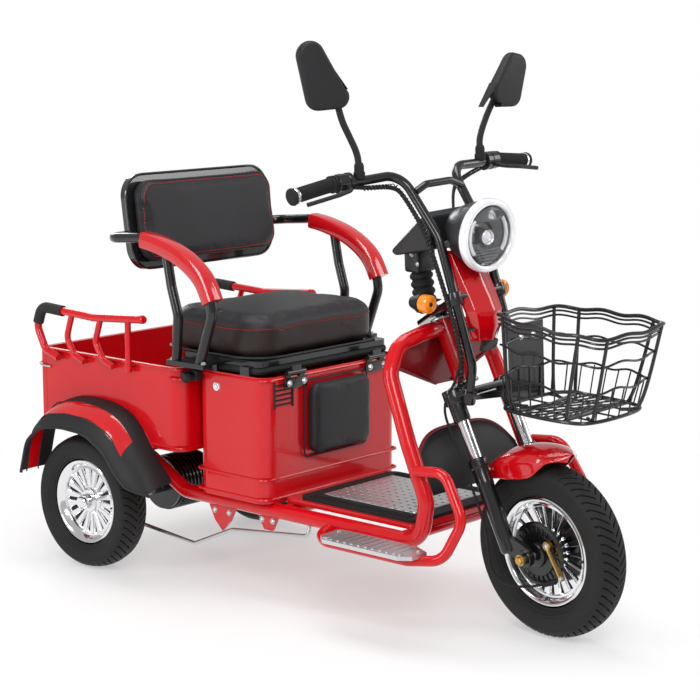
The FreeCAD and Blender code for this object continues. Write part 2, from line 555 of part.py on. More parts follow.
# Seat: base plate, cushion, backrest and arm frames
SEAT_BASE = BOX_TOP + 22
base = rounded_block(262, 535, -240, 240, SEAT_BASE, SEAT_BASE + 14, 20)
strips = [box(290, 525, s * 232 - 5, s * 232 + 5, SEAT_BASE - 8, SEAT_BASE + 1) for s in SIDES]
feet = [box(x, x + 30, s * 238 - 12, s * 238 + 12, BOX_TOP + FIT, SEAT_BASE) for s in SIDES
        for x in (370, 480)]
SEAT_PIN_X, SEAT_PIN_Z, SEAT_PIN_R = BOX_FRONT + 9, BOX_TOP + 6, 6.0
tongues, seat_leaves = [], []
for y in (-150, 150):
    tongues += [cyl((SEAT_PIN_X, y - 16, SEAT_PIN_Z), (SEAT_PIN_X, y + 16, SEAT_PIN_Z), SEAT_PIN_R),
                box(SEAT_PIN_X - 4, SEAT_PIN_X + 4, y - 16, y + 16, SEAT_PIN_Z, SEAT_BASE + 1)]
    for y0 in (y - 32 - FIT, y + 16 + FIT):
        seat_leaves.append(joined([
            cyl((SEAT_PIN_X, y0, SEAT_PIN_Z), (SEAT_PIN_X, y0 + 16, SEAT_PIN_Z), SEAT_PIN_R),
            box(BOX_FRONT + FIT, SEAT_PIN_X, y0, y0 + 16, BOX_TOP - 30, SEAT_PIN_Z)]))
write("seat_base", joined([base] + strips + feet + tongues))
write("seat_hinges", *seat_leaves)
CUSHION_BASE = SEAT_BASE + 14
cushion = rounded_block(183, 536, -236, 236, CUSHION_BASE, CUSHION_BASE + 112, 62)
cushion = soften(cushion, 18, lambda e: e.BoundBox.ZMin > CUSHION_BASE + 111)
write("seat_cushion", cushion)
BACK_X, BACK_Z, BACK_HALF = 118.0, 900.0, 255.0


def along_x(edge):
    return edge.BoundBox.XLength > 10


back = soften(box(-20, 20, -BACK_HALF, BACK_HALF, -118, 118), 58, along_x)
back = soften(back, 16, lambda e: e.BoundBox.XMin > 19)
back_shell = soften(box(-36, -20 - FIT, -BACK_HALF - 4, BACK_HALF + 4, -122, 122), 60, along_x)
for shape in (back, back_shell):
    shape.rotate(V(0, 0, 0), Y, -8)
    shape.translate(V(BACK_X, 0, BACK_Z))
write("backrest_cushion", back)
write("backrest_shell", back_shell)
frames, pads = [], []
ARM_Y = 308.0
arm_side = [(400, 576), (416, 622), (446, 700), (434, 768), (346, 836), (200, 872), (73.6, 862)]
hoop_tube = tube([(x, -ARM_Y, z) for x, z in arm_side] + [(x, ARM_Y, z) for x, z in reversed(arm_side)],
                 12.5, 46)
for s in SIDES:
    y = s * ARM_Y
    strut = tube([(288, y, 850), (306, y, 760), (328, y, 690), (320, y, 576)], 12.5, 46)
    foot = box(300, 428, y - 16, y + 16, SEAT_BASE - 6, SEAT_BASE + 6)
    link = box(318, 420, min(y, s * 240.3), max(y, s * 240.3), SEAT_BASE, SEAT_BASE + 6)
    frames += [strut, foot, link]
    pad = tube([(222, y, 867), (346, y, 836), (434, y, 768), (446, y, 738)], 23, 46)
    pads.append(pad.cut(joined([hoop_tube, strut])))
write("arm_frames", joined([hoop_tube] + frames))
write("armrest_pads", *pads)

print("parts written:", len(os.listdir("parts")))
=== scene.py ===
import json
import math

import bmesh
import bpy
from mathutils import Matrix, Vector
from mathutils.bvhtree import BVHTree


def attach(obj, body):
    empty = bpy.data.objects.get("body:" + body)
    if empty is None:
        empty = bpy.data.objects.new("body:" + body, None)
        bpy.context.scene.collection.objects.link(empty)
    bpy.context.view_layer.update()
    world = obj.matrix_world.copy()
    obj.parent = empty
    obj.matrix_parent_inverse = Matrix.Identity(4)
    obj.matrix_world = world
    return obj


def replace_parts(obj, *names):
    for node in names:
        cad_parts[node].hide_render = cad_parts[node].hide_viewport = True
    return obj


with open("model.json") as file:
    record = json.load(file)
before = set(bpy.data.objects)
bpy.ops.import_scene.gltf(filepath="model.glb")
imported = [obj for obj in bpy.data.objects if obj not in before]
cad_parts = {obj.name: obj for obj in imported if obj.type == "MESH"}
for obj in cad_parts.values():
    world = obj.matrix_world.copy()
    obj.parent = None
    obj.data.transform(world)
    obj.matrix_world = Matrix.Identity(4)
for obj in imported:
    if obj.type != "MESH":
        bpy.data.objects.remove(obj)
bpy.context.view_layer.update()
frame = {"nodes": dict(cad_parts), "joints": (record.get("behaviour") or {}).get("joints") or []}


# Camera: a tripod at the right front corner, a little over bar height, with a long lens.
# The rear axle is the mark that every other place in this file is measured from.
joints = {j["name"]: j for j in frame["joints"]}
rear_axle = Vector(joints["rear_wheel_left_spin"]["pos_m"])


def spot(x, y, z):
    """A place measured forward from the rear axle, left from the middle and up from the ground."""
    return Vector((rear_axle.x + x, y, z))


camera_azimuth, camera_rise = math.radians(41.087), math.radians(9.682)
camera = bpy.data.objects.new("camera", bpy.data.cameras.new("camera"))
bpy.context.collection.objects.link(camera)
camera.data.lens = 99.36
camera.data.sensor_width = 36.0
camera.data.shift_x = -0.006
camera.location = spot(3.719, -3.543, 1.401)
to_camera = Vector((math.sin(camera_azimuth) * math.cos(camera_rise),
                    -math.cos(camera_azimuth) * math.cos(camera_rise), math.sin(camera_rise)))
camera.rotation_euler = (-to_camera).to_track_quat("-Z", "Y").to_euler()
bpy.context.scene.camera = camera
bpy.context.scene.view_settings.view_transform = "Standard"


# Studio: a white floor that keeps the soft shadow near the wheels and fades to plain white,
# under a soft white world, with large soft boxes that give the paint its long highlights.
def mixed(nodes, links, factor, first, second):
    """Two shaders mixed by a socket or by a plain number."""
    mix = nodes.new("ShaderNodeMixShader")
    if isinstance(factor, float):
        mix.inputs[0].default_value = factor
    else:
        links.new(factor, mix.inputs[0])
    links.new(first, mix.inputs[1])
    links.new(second, mix.inputs[2])
    return mix.outputs[0]


def either(nodes, links, first, second):
    """One where either of two sockets is one."""
    add = nodes.new("ShaderNodeMath")
    add.operation = "ADD"
    add.use_clamp = True
    links.new(first, add.inputs[0])
    links.new(second, add.inputs[1])
    return add.outputs[0]


world = bpy.data.worlds.new("studio")
bpy.context.scene.world = world
world.use_nodes = True
nodes, links = world.node_tree.nodes, world.node_tree.links
nodes.clear()
sky, seen_sky = nodes.new("ShaderNodeBackground"), nodes.new("ShaderNodeBackground")
sky.inputs["Strength"].default_value = 0.5
seen_sky.inputs["Strength"].default_value = 1.0
for background in (sky, seen_sky):
    background.inputs["Color"].default_value = (1.0, 1.0, 1.0, 1.0)
rays = nodes.new("ShaderNodeLightPath")
seen = either(nodes, links, rays.outputs["Is Camera Ray"], rays.outputs["Is Transmission Ray"])
links.new(mixed(nodes, links, seen, sky.outputs[0], seen_sky.outputs[0]),
          nodes.new("ShaderNodeOutputWorld").inputs[0])

floor_bm = bmesh.new()
bmesh.ops.create_grid(floor_bm, x_segments=1, y_segments=1, size=30.0)
floor_mesh = bpy.data.meshes.new("floor")
floor_bm.to_mesh(floor_mesh)
floor_bm.free()
floor = bpy.data.objects.new("floor", floor_mesh)
bpy.context.collection.objects.link(floor)
floor_white = bpy.data.materials.new("white_floor")
floor_white.use_nodes = True
nodes, links = floor_white.node_tree.nodes, floor_white.node_tree.links
nodes.clear()
matte, glow = nodes.new("ShaderNodeBsdfDiffuse"), nodes.new("ShaderNodeEmission")
matte.inputs["Color"].default_value = (0.86, 0.86, 0.86, 1.0)
glow.inputs["Strength"].default_value = 1.0
place, reach, fade = (nodes.new("ShaderNodeTexCoord"), nodes.new("ShaderNodeVectorMath"),
                      nodes.new("ShaderNodeMapRange"))
reach.operation = "LENGTH"
fade.inputs["From Min"].default_value = 0.7
fade.inputs["From Max"].default_value = 1.9
links.new(place.outputs["Object"], reach.inputs[0])
links.new(reach.outputs["Value"], fade.inputs["Value"])
rays = nodes.new("ShaderNodeLightPath")
near = mixed(nodes, links, 0.45, matte.outputs[0], glow.outputs[0])
shown = mixed(nodes, links, fade.outputs["Result"], near, glow.outputs[0])
for_eyes = mixed(nodes, links, rays.outputs["Is Camera Ray"], matte.outputs[0], shown)
mirrored_rays = either(nodes, links, rays.outputs["Is Glossy Ray"], rays.outputs["Is Transmission Ray"])
links.new(mixed(nodes, links, mirrored_rays, for_eyes, glow.outputs[0]),
          nodes.new("ShaderNodeOutputMaterial").inputs[0])
floor_mesh.materials.append(floor_white)

# name, place, aim, width, height, watts
soft_boxes = [
    ("key_box", (3.2, -2.6, 3.0), (0.6, 0.0, 0.5), 1.4, 2.0, 75),
    ("side_box", (-0.6, -3.6, 1.7), (0.4, 0.0, 0.5), 0.7, 2.4, 45),
    ("fill_box", (3.0, 2.8, 2.4), (0.8, 0.0, 0.5), 1.4, 2.0, 35),
    ("top_box", (0.5, 0.0, 4.2), (0.5, 0.0, 0.0), 3.0, 1.6, 75),
    ("rear_box", (-3.2, 1.6, 2.4), (0.2, 0.0, 0.5), 1.2, 1.8, 40)]
for name, spot_from, aim, width, height, watts in soft_boxes:
    lamp_data = bpy.data.lights.new(name, "AREA")
    lamp_data.shape = "RECTANGLE"
    lamp_data.size, lamp_data.size_y = width, height
    lamp_data.energy = watts
    soft_box = bpy.data.objects.new(name, lamp_data)
    bpy.context.collection.objects.link(soft_box)
    soft_box.location = spot(*spot_from)
    soft_box.rotation_euler = (spot(*aim) - spot(*spot_from)).to_track_quat("-Z", "Y").to_euler()


# Frame tubes: mild steel tube, bent and welded, stove-enamelled glossy red.
# The enamel's orange peel, tone and lighter patchy edges come from a node group that every finish shares; the
# lighter edges are a painted highlight along convex edges, partly rubbed wear.
def surface_group(name):
    """Small waviness, tone changes and lighter convex edges in patches, a painted highlight partly from wear:
    colour, roughness and normal from object space.
    """
    group = bpy.data.node_groups.new(name, "ShaderNodeTree")
    face = group.interface
    for socket, kind in (("Colour", "NodeSocketColor"), ("Second colour", "NodeSocketColor"),
                         ("Edge sheen and wear colour", "NodeSocketColor"), ("Edge sheen and wear", "NodeSocketFloat"),
                         ("Roughness", "NodeSocketFloat"), ("Roughness change", "NodeSocketFloat"),
                         ("Scale", "NodeSocketFloat"), ("Depth", "NodeSocketFloat")):
        face.new_socket(name=socket, in_out="INPUT", socket_type=kind)
    for socket, kind in (("Colour", "NodeSocketColor"), ("Roughness", "NodeSocketFloat"),
                         ("Normal", "NodeSocketVector")):
        face.new_socket(name=socket, in_out="OUTPUT", socket_type=kind)
    nodes, links = group.nodes, group.links
    given, made = nodes.new("NodeGroupInput"), nodes.new("NodeGroupOutput")
    where = nodes.new("ShaderNodeTexCoord")
    grain, patches = nodes.new("ShaderNodeTexNoise"), nodes.new("ShaderNodeTexNoise")
    grain.inputs["Detail"].default_value = 3.0
    patches.inputs["Scale"].default_value = 9.0
    patches.inputs["Detail"].default_value = 5.0
    tone, edge_sheen_and_wear_colour = nodes.new("ShaderNodeMix"), nodes.new("ShaderNodeMix")
    tone.data_type = edge_sheen_and_wear_colour.data_type = "RGBA"
    edge, edge_range = nodes.new("ShaderNodeNewGeometry"), nodes.new("ShaderNodeMapRange")
    edge_range.inputs["From Min"].default_value = 0.56
    edge_range.inputs["From Max"].default_value = 0.75
    edge_sheen_and_wear_mask, patchy_edge_sheen = nodes.new("ShaderNodeMath"), nodes.new("ShaderNodeMath")
    edge_sheen_and_wear_mask.operation = patchy_edge_sheen.operation = "MULTIPLY"
    change = nodes.new("ShaderNodeMath")
    change.operation = "MULTIPLY_ADD"
    bump = nodes.new("ShaderNodeBump")
    bump.inputs["Strength"].default_value = 1.0
    links.new(where.outputs["Object"], grain.inputs["Vector"])
    links.new(where.outputs["Object"], patches.inputs["Vector"])
    links.new(given.outputs["Scale"], grain.inputs["Scale"])
    links.new(patches.outputs["Fac"], tone.inputs["Factor"])
    links.new(given.outputs["Colour"], tone.inputs["A"])
    links.new(given.outputs["Second colour"], tone.inputs["B"])
    # Pointiness picks out convex edges, broken into patches; the edge colour there is a painted highlight,
    # partly wear.
    links.new(edge.outputs["Pointiness"], edge_range.inputs["Value"])
    links.new(edge_range.outputs["Result"], patchy_edge_sheen.inputs[0])
    links.new(patches.outputs["Fac"], patchy_edge_sheen.inputs[1])
    links.new(patchy_edge_sheen.outputs[0], edge_sheen_and_wear_mask.inputs[0])
    links.new(given.outputs["Edge sheen and wear"], edge_sheen_and_wear_mask.inputs[1])
    links.new(edge_sheen_and_wear_mask.outputs[0], edge_sheen_and_wear_colour.inputs["Factor"])
    links.new(tone.outputs["Result"], edge_sheen_and_wear_colour.inputs["A"])
    links.new(given.outputs["Edge sheen and wear colour"], edge_sheen_and_wear_colour.inputs["B"])
    links.new(patches.outputs["Fac"], change.inputs[0])
    links.new(given.outputs["Roughness change"], change.inputs[1])
    links.new(given.outputs["Roughness"], change.inputs[2])
    links.new(given.outputs["Depth"], bump.inputs["Distance"])
    links.new(grain.outputs["Fac"], bump.inputs["Height"])
    links.new(edge_sheen_and_wear_colour.outputs["Result"], made.inputs["Colour"])
    links.new(change.outputs[0], made.inputs["Roughness"])
    links.new(bump.outputs[0], made.inputs["Normal"])
    return group


surface = surface_group("surface_tone")


def finish(name, colour, second, roughness, change, scale, depth, edge_sheen_and_wear=0.0, edge_sheen_and_wear_colour=(0.3, 0.3, 0.3), **sockets):
    """A material whose tone and waviness come from the shared group; the rest is on the shader."""
    material = bpy.data.materials.new(name)
    material.use_nodes = True
    nodes, links = material.node_tree.nodes, material.node_tree.links
    shader = nodes["Principled BSDF"]
    coat = nodes.new("ShaderNodeGroup")
    coat.node_tree = surface
    for socket, value in (("Colour", (*colour, 1.0)), ("Second colour", (*second, 1.0)),
                          ("Edge sheen and wear colour", (*edge_sheen_and_wear_colour, 1.0)), ("Edge sheen and wear", edge_sheen_and_wear), ("Roughness", roughness),
                          ("Roughness change", change), ("Scale", scale), ("Depth", depth)):
        coat.inputs[socket].default_value = value
    for socket, into in (("Colour", "Base Color"), ("Roughness", "Roughness"), ("Normal", "Normal")):
        links.new(coat.outputs[socket], shader.inputs[into])
    for socket, value in sockets.items():
        shader.inputs[socket.replace("_", " ")].default_value = value
    return material


def dress(node, material):
    """Gives a CAD node its material."""
    mesh = frame["nodes"][node].data
    mesh.materials.clear()
    mesh.materials.append(material)


# The pale pink edge colour is a painted highlight on convex edges, partly rubbed wear.
red_enamel = finish("red_enamel", (0.60, 0.001, 0.006), (0.54, 0.001, 0.005), 0.2, 0.06, 900.0, 0.00003,
                    edge_sheen_and_wear=0.35, edge_sheen_and_wear_colour=(0.65, 0.12, 0.12), Specular_IOR_Level=0.25, Coat_Weight=0.45,
                    Coat_Roughness=0.03)
dress("frame_tubes", red_enamel)


# Bolts and nuts: zinc-plated hexagon heads on washers, used wherever plates are fixed to the frame.
zinc = finish("zinc", (0.62, 0.62, 0.62), (0.5, 0.5, 0.5), 0.25, 0.2, 900.0, 0.00004, Metallic=1.0)
steered = (Matrix.Translation(Vector(joints["steer"]["pos_m"]))
           @ Matrix.Rotation(math.radians(-8.0), 4, Vector(joints["steer"]["axis"]))
           @ Matrix.Translation(-Vector(joints["steer"]["pos_m"])))


def piece(name, bm, body, material, smooth=30.0, turned=False):
    """Finishes a bmesh as a named piece that rides on a body, turned with the parked steering if asked."""
    if turned:
        bmesh.ops.transform(bm, matrix=steered, verts=bm.verts)
    bmesh.ops.recalc_face_normals(bm, faces=bm.faces)
    for face in bm.faces:
        face.smooth = True
    mesh = bpy.data.meshes.new(name)
    bm.to_mesh(mesh)
    bm.free()
    if smooth:
        mesh.set_sharp_from_angle(angle=math.radians(smooth))
    mesh.materials.append(material)
    made = bpy.data.objects.new(name, mesh)
    bpy.context.collection.objects.link(made)
    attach(made, body)
    return made


def facing(place, direction):
    """A matrix that puts a shape drawn round Z at a place, along a direction."""
    return Matrix.Translation(place) @ Vector(direction).to_track_quat("Z", "Y").to_matrix().to_4x4()


def lathe(bm, profile, matrix, steps=48, ring=False):
    """Spins (radius, height) points round Z and puts the shape where the matrix says."""
    verts = [bm.verts.new((radius, 0.0, height)) for radius, height in profile]
    edges = [bm.edges.new(pair) for pair in zip(verts, verts[1:] + (verts[:1] if ring else []))]
    spun = bmesh.ops.spin(bm, geom=verts + edges, cent=(0, 0, 0), axis=(0, 0, 1), angle=math.tau,
                          steps=steps, use_merge=True)
    fresh = {v for v in bm.verts if not v.tag}
    bmesh.ops.transform(bm, matrix=matrix, verts=list(fresh))
    bmesh.ops.remove_doubles(bm, verts=list(fresh), dist=0.00001)
    for vert in bm.verts:
        vert.tag = True
    return spun


def bolt(bm, place, direction, size=0.008):
    """A hexagon head on a washer, standing on the given place."""
    where = facing(place, direction)
    lathe(bm, [(0, 0), (size * 1.1, 0), (size * 1.1, size * 0.15), (0, size * 0.15)], where, 16)
    lathe(bm, [(0, 0), (size * 0.8, 0), (size * 0.8, size * 0.6), (size * 0.65, size * 0.75),
               (0, size * 0.75)], where, 6)


frame_bolts = bmesh.new()
for side in (-1, 1):
    for x, z in ((0.352, 0.188), (0.402, 0.188), (0.516, 0.192), (0.552, 0.192)):
        bolt(frame_bolts, spot(x, side * 0.214, z), (0, side, 0), 0.007)
piece("frame_bolts", frame_bolts, "chassis", zinc)
dress("frame_brackets", red_enamel)


# Head gussets and splash shield: a V-shaped web in darker, flatter red between the loops, with two ribs
# behind the head tube, and below it a black moulded flap whose rounded top has a red rolled edge.
def slab(bm, outline, shift):
    """A plate: a closed outline of places, thickened along a vector."""
    made = bmesh.ops.contextual_create(bm, geom=[bm.verts.new(place) for place in outline])
    raised = bmesh.ops.extrude_face_region(bm, geom=made["faces"])
    bmesh.ops.translate(bm, vec=shift, verts=[v for v in raised["geom"] if isinstance(v, bmesh.types.BMVert)])


def soften(bm, width, segments=1):
    """Rounds every edge of a shape."""
    bmesh.ops.bevel(bm, geom=bm.edges[:], offset=width, segments=segments, profile=0.5, affect="EDGES",
                    material=-1)


def wires(name, lines, radius, body, material, closed=False, turned=False, sides=2, fine=5):
    """Round wire or tube along smooth lines, as one mesh piece."""
    curve = bpy.data.curves.new(name, "CURVE")
    curve.dimensions = "3D"
    curve.bevel_depth = radius
    curve.bevel_resolution = sides
    curve.resolution_u = fine
    curve.use_fill_caps = True
    for line in lines:
        spline = curve.splines.new("NURBS")
        spline.points.add(len(line) - 1)
        for point, place in zip(spline.points, line):
            point.co = (*place, 1.0)
        spline.use_cyclic_u = closed
        spline.use_endpoint_u = not closed
        spline.order_u = 3
    former = bpy.data.objects.new(name + "_former", curve)
    bpy.context.collection.objects.link(former)
    drawn = bpy.data.meshes.new_from_object(former.evaluated_get(bpy.context.evaluated_depsgraph_get()))
    bm = bmesh.new()
    bm.from_mesh(drawn)
    bpy.data.objects.remove(former)
    bpy.data.curves.remove(curve)
    bpy.data.meshes.remove(drawn)
    bmesh.ops.remove_doubles(bm, verts=bm.verts, dist=0.00001)
    return piece(name, bm, body, material, 40.0, turned)


dark_enamel = finish("dark_enamel", (0.20, 0.002, 0.005), (0.15, 0.002, 0.004), 0.3, 0.1, 600.0, 0.00005,
                     Specular_IOR_Level=0.3, Coat_Weight=0.3, Coat_Roughness=0.1)
web = bmesh.new()
slab(web, [spot(0.908, y, z) for y, z in ((-0.182, 0.612), (-0.150, 0.650), (-0.096, 0.676), (0.096, 0.676),
                                          (0.150, 0.650), (0.182, 0.612), (0.034, 0.552), (-0.034, 0.552))],
     Vector((0.004, 0, 0)))
for y in (-0.037, 0.031):
    slab(web, [spot(0.868, y, 0.640), spot(0.909, y, 0.586), spot(0.910, y, 0.672)], Vector((0, 0.006, 0)))
soften(web, 0.0012, 2)
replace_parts(piece("gusset_web", web, "chassis", dark_enamel), "head_gussets")
wires("web_folds", [[spot(0.9135, s * 0.176, 0.611), spot(0.9135, s * 0.10, 0.581),
                     spot(0.9135, s * 0.032, 0.555)]
                    for s in (-1, 1)], 0.004, "chassis", dark_enamel)
# Its greyer edge colour is a painted highlight on convex edges, partly wear.
grained_plastic = finish("grained_plastic", (0.011, 0.011, 0.012), (0.016, 0.016, 0.018), 0.45, 0.14, 2200.0,
                         0.00007, edge_sheen_and_wear=0.3, edge_sheen_and_wear_colour=(0.05, 0.05, 0.05), Specular_IOR_Level=0.3)
dress("battery_pack", grained_plastic)
FALL = [(0.951, 0.458), (0.964, 0.436), (0.978, 0.414), (0.990, 0.392), (0.997, 0.369), (1.004, 0.345),
        (1.010, 0.322)]


def flap_place(across, row):
    """A place on the flap: across runs from -1 to 1, row 0 is the top edge."""
    x, z = FALL[row]
    fall = (1.0 - row / 6.0) * across ** 4
    return spot(x + 0.034 * fall, across * 0.188, z - 0.070 * fall)


flap = bmesh.new()
bmesh.ops.create_grid(flap, x_segments=20, y_segments=6, size=0.5)
for vert in flap.verts:
    vert.co = flap_place(vert.co.x * 2.0, round((vert.co.y + 0.5) * 6))
apron = piece("shield_flap", flap, "chassis", grained_plastic)
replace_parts(apron, "splash_shield")
apron_wall = apron.modifiers.new("wall", "SOLIDIFY")
apron_wall.thickness = 0.003
wires("shield_edge", [[flap_place(n / 10.0, 0) for n in range(-10, 11)]], 0.0042, "chassis", dark_enamel)


# Crash loops and step plates: bent red tube, with ribbed aluminium plates bolted on the foot rests.
dress("crash_loops", red_enamel)
brushed = finish("brushed_aluminium", (0.72, 0.72, 0.73), (0.6, 0.6, 0.62), 0.3, 0.2, 500.0, 0.00005,
                 Metallic=1.0)
dress("step_plates", brushed)


def cuboid(bm, place, size):
    """A box of the given size, in the middle of a place."""
    return bmesh.ops.create_cube(bm, size=1.0,
                                 matrix=Matrix.Translation(place) @ Matrix.Diagonal((*size, 1.0)))


step_ribs = bmesh.new()
for side in (-1, 1):
    for count in range(11):
        x = 0.822 + count * 0.021
        cuboid(step_ribs, spot(x, side * 0.29, 0.2225), (0.008, 0.078, 0.003))
soften(step_ribs, 0.001)
piece("step_ribs", step_ribs, "chassis", brushed)
step_screws = bmesh.new()
for side in (-1, 1):
    for x, y in ((0.812, 0.262), (1.062, 0.275), (1.05, 0.325), (0.83, 0.325)):
        bolt(step_screws, spot(x, side * y, 0.222), (0, 0, 1), 0.006)
piece("step_screws", step_screws, "chassis", zinc)


# Floor: a red pressed pan with a black rubber mat, and a punched aluminium plate let into the mat.
dress("floor_pan", red_enamel)
rubber = finish("black_rubber", (0.008, 0.008, 0.008), (0.013, 0.013, 0.013), 0.6, 0.18, 1500.0, 0.0001,
                Specular_IOR_Level=0.3)
dress("floor_mat", rubber)
mat_ribs = bmesh.new()
for y in [sign * (0.15 + 0.009 * n) for sign in (-1, 1) for n in range(3)]:
    cuboid(mat_ribs, spot(0.79, y, 0.26), (0.31, 0.004, 0.003))
piece("mat_ribs", mat_ribs, "chassis", rubber)
tread = bmesh.new()
bmesh.ops.create_grid(tread, x_segments=24, y_segments=22, size=0.5)
bmesh.ops.transform(tread, matrix=Matrix.Translation(spot(0.79, 0, 0.2612)) @ Matrix.Diagonal((0.29, 0.26,
        1.0, 1.0)), verts=tread.verts)
studs = [f for n, f in enumerate(sorted(tread.faces, key=lambda f: (round(f.calc_center_median().x, 4),
                                                                    f.calc_center_median().y)))
         if (n // 22) % 2 == 0 and n % 2 == 0]
bmesh.ops.inset_individual(tread, faces=studs, thickness=0.0022, depth=0.0)
bmesh.ops.delete(tread, geom=studs, context="FACES")
tread_plate = piece("tread_plate", tread, "chassis", brushed)
thick = tread_plate.modifiers.new("thickness", "SOLIDIFY")
thick.thickness = 0.0018


# Seat box: folded and welded sheet steel in red enamel, with rolled beads round its top and foot
# and a pressed louvre low on the rider's right of its front face.
dress("seat_box", red_enamel)


def round_corners(corners, radius):
    """Two points near each corner of a closed outline, so that a smooth line turns there tightly."""
    line = []
    for before, corner, after in zip(corners[-1:] + corners[:-1], corners, corners[1:] + corners[:1]):
        line += [corner + (before - corner).normalized() * radius, corner,
                 corner + (after - corner).normalized() * radius]
    return line


def level_ring(x0, x1, half, z, radius):
    return round_corners([spot(x0, -half, z), spot(x1, -half, z), spot(x1, half, z), spot(x0, half, z)],
                         radius)


wires("seat_box_beads", [level_ring(0.326, 0.563, 0.25, z, 0.038) for z in (0.251, 0.300, 0.545)], 0.0035,
      "chassis", red_enamel, closed=True)
louvre = bmesh.new()
for count in range(5):
    bmesh.ops.create_cube(louvre, size=1.0, matrix=Matrix.Translation(spot(0.5645, -0.186,
            0.482 + count * 0.012))
                          @ Matrix.Rotation(0.5, 4, "Y") @ Matrix.Diagonal((0.006, 0.06, 0.002, 1.0)))
for y in (-0.218, -0.154):
    cuboid(louvre, spot(0.5645, y, 0.506), (0.005, 0.004, 0.066))
soften(louvre, 0.0008)
piece("box_louvre", louvre, "chassis", grained_plastic)


# Calf pad: foam board under black leatherette on the front of the seat box.
# The leatherette is shared by all the seat's pads: fine pebble grain with soft creases.
def leather_group(name):
    """Pebble grain over slow creases; a tone that turns greyer in random blotches."""
    group = bpy.data.node_groups.new(name, "ShaderNodeTree")
    face = group.interface
    for socket, kind in (("Colour", "NodeSocketColor"), ("Crown colour", "NodeSocketColor"),
                         ("Grain", "NodeSocketFloat"), ("Depth", "NodeSocketFloat")):
        face.new_socket(name=socket, in_out="INPUT", socket_type=kind)
    for socket, kind in (("Colour", "NodeSocketColor"), ("Roughness", "NodeSocketFloat"),
                         ("Normal", "NodeSocketVector")):
        face.new_socket(name=socket, in_out="OUTPUT", socket_type=kind)
    nodes, links = group.nodes, group.links
    given, made = nodes.new("NodeGroupInput"), nodes.new("NodeGroupOutput")
    where = nodes.new("ShaderNodeTexCoord")
    pebble, crease, blotch = (nodes.new("ShaderNodeTexVoronoi"), nodes.new("ShaderNodeTexNoise"),
                              nodes.new("ShaderNodeTexNoise"))
    crease.inputs["Scale"].default_value = 26.0
    crease.inputs["Detail"].default_value = 4.0
    blotch.inputs["Scale"].default_value = 6.0
    tone, rough = nodes.new("ShaderNodeMix"), nodes.new("ShaderNodeMapRange")
    tone.data_type = "RGBA"
    rough.inputs["To Min"].default_value = 0.34
    rough.inputs["To Max"].default_value = 0.5
    fine, slow = nodes.new("ShaderNodeBump"), nodes.new("ShaderNodeBump")
    slow.inputs["Distance"].default_value = 0.0012
    slow.inputs["Strength"].default_value = 0.5
    for texture in (pebble, crease, blotch):
        links.new(where.outputs["Object"], texture.inputs["Vector"])
    links.new(given.outputs["Grain"], pebble.inputs["Scale"])
    links.new(blotch.outputs["Fac"], tone.inputs["Factor"])
    links.new(given.outputs["Colour"], tone.inputs["A"])
    links.new(given.outputs["Crown colour"], tone.inputs["B"])
    links.new(pebble.outputs["Distance"], rough.inputs["Value"])
    links.new(crease.outputs["Fac"], slow.inputs["Height"])
    links.new(slow.outputs[0], fine.inputs["Normal"])
    links.new(pebble.outputs["Distance"], fine.inputs["Height"])
    links.new(given.outputs["Depth"], fine.inputs["Distance"])
    links.new(tone.outputs["Result"], made.inputs["Colour"])
    links.new(rough.outputs["Result"], made.inputs["Roughness"])
    links.new(fine.outputs[0], made.inputs["Normal"])
    return group


hide_group = leather_group("leatherette_grain")


def leatherette(name, colour, crown):
    material = bpy.data.materials.new(name)
    material.use_nodes = True
    nodes, links = material.node_tree.nodes, material.node_tree.links
    hide, shader = nodes.new("ShaderNodeGroup"), nodes["Principled BSDF"]
    hide.node_tree = hide_group
    hide.inputs["Colour"].default_value = (*colour, 1.0)
    hide.inputs["Crown colour"].default_value = (*crown, 1.0)
    hide.inputs["Grain"].default_value = 700.0
    hide.inputs["Depth"].default_value = 0.0003
    for socket, into in (("Colour", "Base Color"), ("Roughness", "Roughness"), ("Normal", "Normal")):
        links.new(hide.outputs[socket], shader.inputs[into])
    shader.inputs["Specular IOR Level"].default_value = 0.3
    return material


black_hide = leatherette("black_leatherette", (0.014, 0.014, 0.016), (0.022, 0.022, 0.025))
brown_hide = leatherette("band_leatherette", (0.020, 0.013, 0.012), (0.028, 0.018, 0.017))
stitch_red = finish("stitch_thread", (0.55, 0.01, 0.02), (0.42, 0.008, 0.014), 0.55, 0.1, 3000.0, 0.0001)


